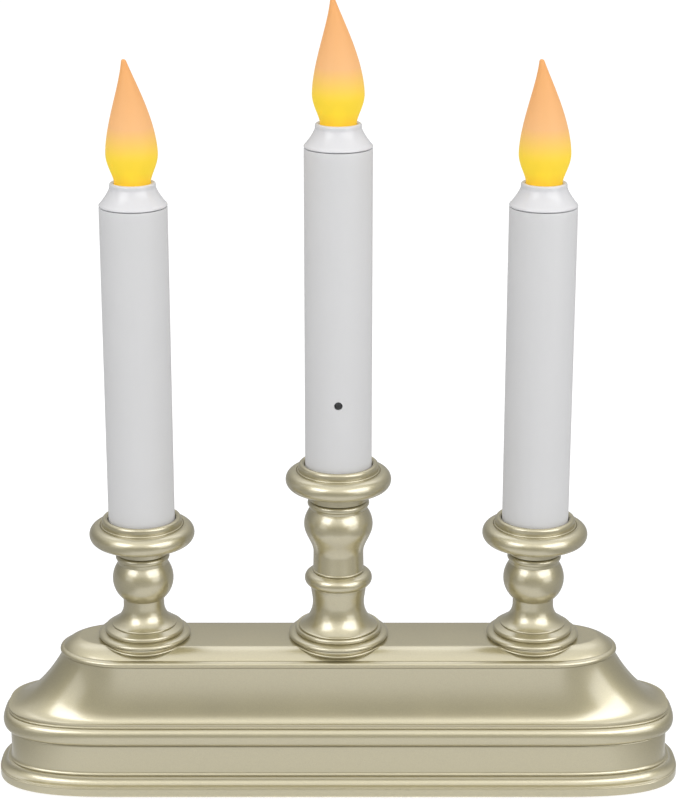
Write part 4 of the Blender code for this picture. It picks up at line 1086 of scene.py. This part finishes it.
led = {"radius": 2.5, "height": 8.6, "flange": 0.4, "flangeHeight": 1.0, "leg": 0.9, "legLength": 3.7,
       "seatHeight": 2.5, "seatEdge": 0.2}


def ledProfile():
    dome = led["radius"]
    points = arc((0.0, led["height"] - dome), (dome, dome), 90, 0, 10)
    points += [(dome, led["flangeHeight"]), (dome + led["flange"], led["flangeHeight"])]
    return points + [(dome + led["flange"], 0.0), (led["leg"], 0.0), (led["leg"], -led["legLength"]),
                     (0.0, -led["legLength"])]


def cutSensorHole(mesh):
    hole = bmesh.new()
    bmRod(hole, 0.0, 0.0, sensor["hole"], sensor["cutFrom"], sensor["cutTo"], sensor["sides"])
    narrow = sensor["hole"] * sensor["flareShare"]
    wide = sensor["hole"] + sensor["bevel"] * 2
    flared = bmesh.ops.create_cone(hole, cap_ends=True, segments=sensor["sides"], radius1=narrow * mm,
                                   radius2=wide * mm, depth=sensor["flareDepth"] * mm)
    outward = (0.0, 0.0, (tube["radius"] + sensor["flareOut"]) * mm)
    bmesh.ops.translate(hole, vec=outward, verts=flared["verts"])
    bmesh.ops.rotate(hole, matrix=Matrix.Rotation(pi / 2, 3, "X"), verts=hole.verts)
    bmesh.ops.translate(hole, vec=(0.0, 0.0, sensor["height"] * mm), verts=hole.verts)
    return tidyMesh(carve(mesh, hole), 30.0)


def seatProfile():
    hole, rim = led["leg"] + holder["play"], collar["bore"] - holder["play"]
    high, edge = led["seatHeight"], led["seatEdge"]
    return [(hole, high), (rim - edge, high), (rim, high - edge), (rim, 0.0), (hole, 0.0)]


for side, x in candleAt.items():
    at = x * mm
    tubeMesh = turn(f"tube_{side}_turned", tubeProfile(), (at, 0.0, bottomOf("tube_" + side)),
                    "waxWhite", 128)
    if side == "centre":
        tubeMesh = cutSensorHole(tubeMesh)
    settle(addPiece(f"tube_{side}_turned", tubeMesh), "candelabra", "wax_white", "tube_" + side)
    collarZ = bottomOf("collar_" + side) + collar["plug"] * mm
    mesh = turn(f"collar_{side}_turned", collarProfile(), (at, 0.0, collarZ), "glossWhite", 112)
    settleMesh(mesh, "candelabra", "gloss_white", "collar_" + side)
    mesh = turn(f"led_seat_{side}_turned", seatProfile(), (at, 0.0, bottomOf("led_seat_" + side)),
                "blackPlastic", 64)
    settleMesh(mesh, "candelabra", "black_plastic", "led_seat_" + side)
    ledZ = bottomOf("led_" + side) + led["legLength"] * mm
    mesh = turn(f"led_{side}_turned", ledProfile(), (at, 0.0, ledZ), "ledLens", 48, closed=False)
    settleMesh(mesh, "candelabra", "led_lens", "led_" + side)
    flameZ = bottomOf("flame_" + side) - flame["plugLow"] * mm
    mesh = turn(f"flame_{side}_shade", flameProfile(), (at, 0.0, flameZ), "flameAmber", 72, closed=False,
                span=(0.0, flame["height"]), lean=flameLean)
    settleMesh(mesh, "flame_" + side, "flame_amber", "flame_" + side)
print("candles done")

# light sensor in the centre tube
def sensorProfile():
    inner = tube["radius"] - tube["wall"]
    radius, flange = sensor["radius"], sensor["radius"] + sensor["flange"]
    front = sqrt(inner**2 - flange**2) - holder["gap"]
    back = front - sensor["depth"]
    points = arc((0.0, tube["radius"] - radius / 2), (radius, radius / 2), 90, 0, 8)
    return points + [(radius, front), (flange, front), (flange, back), (0.0, back)]


mesh = turn("light_sensor_turned", sensorProfile(), (0.0, 0.0, sensor["height"] * mm), "blackPlastic", 40,
            closed=False, tilt=Matrix.Rotation(pi / 2, 4, "X"))
settleMesh(mesh, "candelabra", "black_plastic", "light_sensor")


# underside: plate, door, switch, feet and screws
def bevelled(mesh, width, segments=3, limit=40.0):
    bm = bmesh.new()
    bm.from_mesh(mesh)
    edges = [e for e in bm.edges if e.is_manifold and e.calc_face_angle() > radians(limit)]
    bmesh.ops.bevel(bm, geom=edges, offset=width * mm, segments=segments, affect="EDGES", profile=0.5)
    bm.to_mesh(mesh)
    bm.free()
    return mesh


def blockMesh(name, low, high, bevel=0.0):
    bm = bmesh.new()
    bmBlock(bm, low, high)
    mesh = bpy.data.meshes.new(name)
    bm.to_mesh(mesh)
    bm.free()
    return bevelled(mesh, bevel) if bevel else mesh


def cutBlock(mesh, low, high, operation="DIFFERENCE"):
    tool = bmesh.new()
    bmBlock(tool, low, high)
    return carve(mesh, tool, operation)


def painted(mesh, finish, sharp=38.0):
    mesh.materials.clear()
    mesh.materials.append(finishes[finish])
    return tidyMesh(mesh, sharp)


def makeBottomPlate():
    inset = base["wall"] + holder["gap"]
    low, high, sink = underside["plateLow"], underside["plateHigh"], underside["sink"]
    roof, under, over = underside["wellRoof"], low - underside["through"], high + underside["through"]
    mesh = loft("bottom_plate_moulded", [
        lowerOutline(inset, high), lowerOutline(inset, low + sink), lowerOutline(inset + sink, low)])
    length, depth, wall = underside["wellLength"], underside["wellDepth"], base["wall"]
    mesh = cutBlock(mesh, (-length - wall, -depth - wall, high - sink),
                    (length + wall, depth + wall, roof), "UNION")
    mesh = cutBlock(mesh, (-length, -depth, high - sink), (length, depth, underside["wellTop"]))
    back = underside["hingeY"] + underside["hingeRoom"] + holder["gap"]
    mesh = cutBlock(mesh, (-length, -depth - holder["gap"], under), (length, back, high + sink))
    posts = bmesh.new()
    for sx in (-1, 1):
        bmRod(posts, sx * underside["boardScrewX"], 0.0, underside["screwRadius"] + wall,
              roof - underside["postSink"], roof + underside["postRise"])
    mesh = carve(mesh, posts, "UNION")
    holes = bmesh.new()
    clear = underside["screwRadius"] + holder["play"]
    for sx in (-1, 1):
        for sy in (-1, 1):
            bmRod(holes, sx * underside["screwX"], sy * underside["screwY"], clear, under, over, 24)
        bmRod(holes, sx * underside["boardScrewX"], 0.0, clear, *underside["boardHole"], 16)
        bmRod(holes, sx * underside["leadX"], 0.0, underside["leadHole"],
              underside["wellTop"] - underside["postSink"], roof + underside["postSink"], 20)
    slotX, slotY, switchX = underside["slotX"], underside["slotY"], underside["switchX"]
    bmBlock(holes, (switchX - slotX, -slotY, under), (switchX + slotX, slotY, over))
    mesh = carve(mesh, holes)
    plate = addPiece("bottom_plate_moulded", painted(mesh, "greyPlastic", 30.0))
    settle(plate, "candelabra", "grey_plastic", "bottom_plate")


def makeDoor():
    low, thick = underside["plateLow"], underside["doorThick"]
    hingeZ = low + thick / 2
    half, front, hinge = underside["wellLength"] - holder["gap"], -underside["wellDepth"], underside["hingeY"]
    mesh = blockMesh("battery_door_moulded", (-half, front, low), (half, hinge, low + thick),
                     underside["doorBevel"])
    barrel = bmesh.new()
    bmRod(barrel, 0.0, 0.0, thick / 2, -half, half, 32)
    bmesh.ops.rotate(barrel, matrix=Matrix.Rotation(pi / 2, 3, "Y"), verts=barrel.verts)
    bmesh.ops.translate(barrel, vec=(0.0, hinge * mm, hingeZ * mm), verts=barrel.verts)
    mesh = carve(mesh, barrel, "UNION")
    notch = bmesh.new()
    bmRod(notch, 0.0, front, underside["notch"], low - underside["through"], hingeZ - thick / 6, 64)
    mesh = carve(mesh, notch)
    door = addPiece("battery_door_moulded", painted(mesh, "greyPlastic", 30.0))
    settle(door, "battery_door", "grey_plastic", "battery_door")
    empty = bpy.data.meshes.new("ribs")
    ribs = growMesh("battery_door_ribs", empty, ribTree, {
        "Count": underside["ribs"], "Pitch": underside["ribPitch"] * mm,
        "Length": underside["ribLength"] * mm, "Radius": underside["ribRadius"] * mm,
        "Finish": finishes["greyPlastic"]})
    move = Matrix.Translation((0.0, underside["ribY"] * mm, (low + underside["ribSink"]) * mm))
    ribs.transform(move @ Matrix.Rotation(pi / 2, 4, "Z"))
    settleMesh(tidyMesh(ribs), "battery_door", "grey_plastic")


slider = {"halfX": 1.5, "halfY": 1.3, "bevel": 0.15, "flangeLow": 0.5, "flangeHigh": 1.5, "pitch": 0.9,
          "slotHalf": 0.2, "slotReach": 2.0, "slotBelow": 0.3, "slotDeep": 0.22}


def makeSlider():
    low, high = (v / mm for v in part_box("switch_slider"))
    mid = (low.x + high.x) / 2
    halfX, halfY, half, reach = (slider[key] for key in ("halfX", "halfY", "slotHalf", "slotReach"))
    mesh = blockMesh("switch_slider_moulded", (mid - halfX, -halfY, low.z), (mid + halfX, halfY, high.z),
                     slider["bevel"])
    flange = bmesh.new()
    bmBlock(flange, (low.x, low.y, low.z + slider["flangeLow"]),
            (high.x, high.y, low.z + slider["flangeHigh"]))
    mesh = carve(mesh, flange, "UNION")
    slots = bmesh.new()
    for i in (-1, 0, 1):
        slotX = mid + i * slider["pitch"]
        bmBlock(slots, (slotX - half, -reach, low.z - slider["slotBelow"]),
                (slotX + half, reach, low.z + slider["slotDeep"]))
    mesh = carve(mesh, slots)
    settleMesh(painted(mesh, "blackPlastic"), "switch_slider", "black_plastic", "switch_slider")


def repeated(name, master, places, finish):
    # copies of one master mesh, grown at the places and made one mesh
    points = bpy.data.meshes.new(name + "Points")
    points.from_pydata([Vector(p) * mm for p in places], [], [])
    pattern = addPiece(name + "Master", master)
    mesh = growMesh(name, points, repeatTree, {"Piece": pattern, "Finish": finishes[finish]})
    bpy.data.objects.remove(pattern)
    return tidyMesh(mesh, 32.0)


rubber = {"height": 1.7, "edge": 0.15, "round": 0.5,
          "ring": [(2.7, 0.0), (2.5, 0.25), (1.9, 0.25), (1.7, 0.0)]}


def footRubberProfile():
    radius, high = underside["footRadius"], rubber["height"]
    edge, bend = rubber["edge"], rubber["round"]
    points = [(0.0, high), (radius - edge, high), (radius, high - edge)]
    points += arc((radius - bend, bend), (bend, bend), 0, -90, 6)
    return points + rubber["ring"] + [(0.0, 0.0)]


screw = {"head": 2.5, "headHeight": 1.3, "headEdge": 0.15, "tip": 0.4, "core": 0.82, "pitch": 0.8,
         "plain": 2.2, "firstTurn": 1.4, "crest": 0.08, "neck": 0.5, "crossLong": 1.35, "crossWide": 0.3,
         "crossLow": -2.0, "crossTop": -0.55, "plateLength": 10.0, "stemLength": 8.5}


def screwMesh(length):
    # pan head facing down with a cross recess, threaded shank running up
    shank, head, high = underside["screwRadius"], screw["head"], screw["headHeight"]
    core, crest, edge = shank * screw["core"], screw["crest"], screw["headEdge"]
    points = [(0.0, length), (shank * screw["tip"], length)]
    for i in range(max(3, int((length - screw["plain"]) / screw["pitch"]))):
        z = length - screw["firstTurn"] - i * screw["pitch"]
        points += [(core, z + screw["pitch"] / 2), (shank, z + crest), (shank, z - crest)]
    points += [(core, screw["neck"]), (core, 0.0), (head - edge, 0.0), (head, -edge)]
    points += arc((0.0, -high * 0.4), (head, high * 0.6), 0, -90, 8)
    mesh = turn("screwMaster", points, (0.0, 0.0, 0.0), "zincSteel", 32, closed=False)
    arm = (screw["crossLong"], screw["crossWide"])
    for x, y in (arm, arm[::-1]):
        cross = bmesh.new()
        bmBlock(cross, (-x, -y, screw["crossLow"]), (x, y, screw["crossTop"]))
        mesh = carve(mesh, cross)
    return painted(mesh, "zincSteel")


def makeFastenersAndFeet():
    foot = turn("rubberMaster", footRubberProfile(), (0.0, 0.0, 0.0), "footRubber", 48, closed=False)
    places = fourPlaces(underside["footX"], underside["footY"], 0.0)
    mesh = repeated("rubber_feet_moulded", foot, places, "footRubber")
    settleMesh(mesh, "candelabra", "rubber", *[f"rubber_foot_{i}" for i in range(1, 5)])
    places = fourPlaces(underside["screwX"], underside["screwY"], underside["plateLow"] - holder["gap"])
    mesh = repeated("plate_screws_turned", screwMesh(screw["plateLength"]), places, "zincSteel")
    settleMesh(mesh, "candelabra", "steel", *[f"plate_screw_{i}" for i in range(1, 5)])
    ceiling = base["deck"] - base["wall"] - holder["gap"]
    places = [(x + sx * underside["stemScrew"], 0.0, ceiling) for x in candleAt.values() for sx in (-1, 1)]
    mesh = repeated("stem_screws_turned", screwMesh(screw["stemLength"]), places, "zincSteel")
    settleMesh(mesh, "candelabra", "steel",
           *[f"stem_screw_{side}_{i}" for side in candleAt for i in (1, 2)])


cell = {"radius": 13.1, "edge": 0.8, "length": 50.0, "nub": 1.5, "nubFlat": 2.7, "nubRound": 0.3,
        # inset from the jacket or radius of the nub, height over the shoulder
        "nubFoot": [(3.0, 0.2), (3.3, 0.0)], "shoulder": [(2.2, 0.0), (2.0, -0.35), (1.6, -0.35)],
        "dish": 0.3}


def makeBatteries():
    radius, edge, length, bend = cell["radius"], cell["edge"], cell["length"], cell["nubRound"]
    body = length - cell["nub"]
    points = [(0.0, length)] + arc((cell["nubFlat"], length - bend), (bend, bend), 90, 0, 4)
    points += [(r, body + up) for r, up in cell["nubFoot"]]
    points += [(radius - inset, body + up) for inset, up in cell["shoulder"]]
    points += arc((radius - edge, body - edge), (edge, edge), 100, 0, 8)
    points += arc((radius - edge, edge), (edge, edge), 0, -90, 8)
    points += [(radius - 2.0, 0.0), (radius - 2.2, cell["dish"]), (0.0, cell["dish"])]
    for i in (1, 2, 3):
        low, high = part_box(f"battery_{i}")
        mesh = turn(f"battery_{i}_turned", points, (low.x, 0.0, (low.z + high.z) / 2), "cellJacket", 72,
                    closed=False, span=(0.0, length), tilt=Matrix.Rotation(pi / 2, 4, "Y"))
        settleMesh(mesh, "candelabra", "cell_jacket", f"battery_{i}")


def wire(name, points, radius, finish, sides=14):
    source = bpy.data.meshes.new(name + "Path")
    source.from_pydata([Vector(p) * mm for p in points], [(i, i + 1) for i in range(len(points) - 1)], [])
    mesh = growMesh(name, source, wireTree, {
        "Radius": radius * mm, "Sides": sides, "Finish": finishes[finish]})
    return addPiece(name, tidyMesh(mesh))


spring = {"start": -78.75, "length": 5.3, "turns": 3, "turnSteps": 28, "wide": 8.0, "narrow": 4.0,
          "wire": 0.5}


def makeContacts():
    axis = (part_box("battery_1")[0].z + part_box("battery_1")[1].z) / 2 / mm
    turns = spring["turns"]
    steps = turns * spring["turnSteps"]
    points = []
    for i in range(steps + 1):
        share = i / steps
        reach = blend(spring["wide"], spring["narrow"], share)
        angle = 2 * pi * turns * share
        along = spring["start"] + spring["length"] * share
        points.append((along, reach * sin(angle), axis + reach * cos(angle)))
    coil = wire("battery_spring_coil", points, spring["wire"], "zincSteel")
    settle(coil, "candelabra", "steel", "battery_spring")
    low, high = (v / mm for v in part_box("battery_contact"))
    mesh = blockMesh("battery_contact_plate", low, high, underside["contactBevel"])
    settleMesh(painted(mesh, "zincSteel"), "candelabra", "steel", "battery_contact")


makeBottomPlate()
makeDoor()
makeSlider()
makeFastenersAndFeet()
makeBatteries()
makeContacts()
print("underside done")

# nodes kept from the part, all hidden inside it
keptFinish = {
    "switch_body": "zincSteel", "circuit_board": "boardGreen", "timer_chip": "blackPlastic",
    "capacitor": "blackPlastic", "led_lead": "redLead", "battery_lead_plus": "redLead",
    "battery_lead_minus": "blackLead", "sensor_lead": "blackLead", "switch_lead": "blackLead",
}
for nodeName, node in nodes.items():
    for start, finish in keptFinish.items():
        if nodeName == start or nodeName.startswith(start + "_"):
            node.data.materials.clear()
            node.data.materials.append(finishes["zincSteel" if "screw" in nodeName else finish])
print("kept nodes finished")
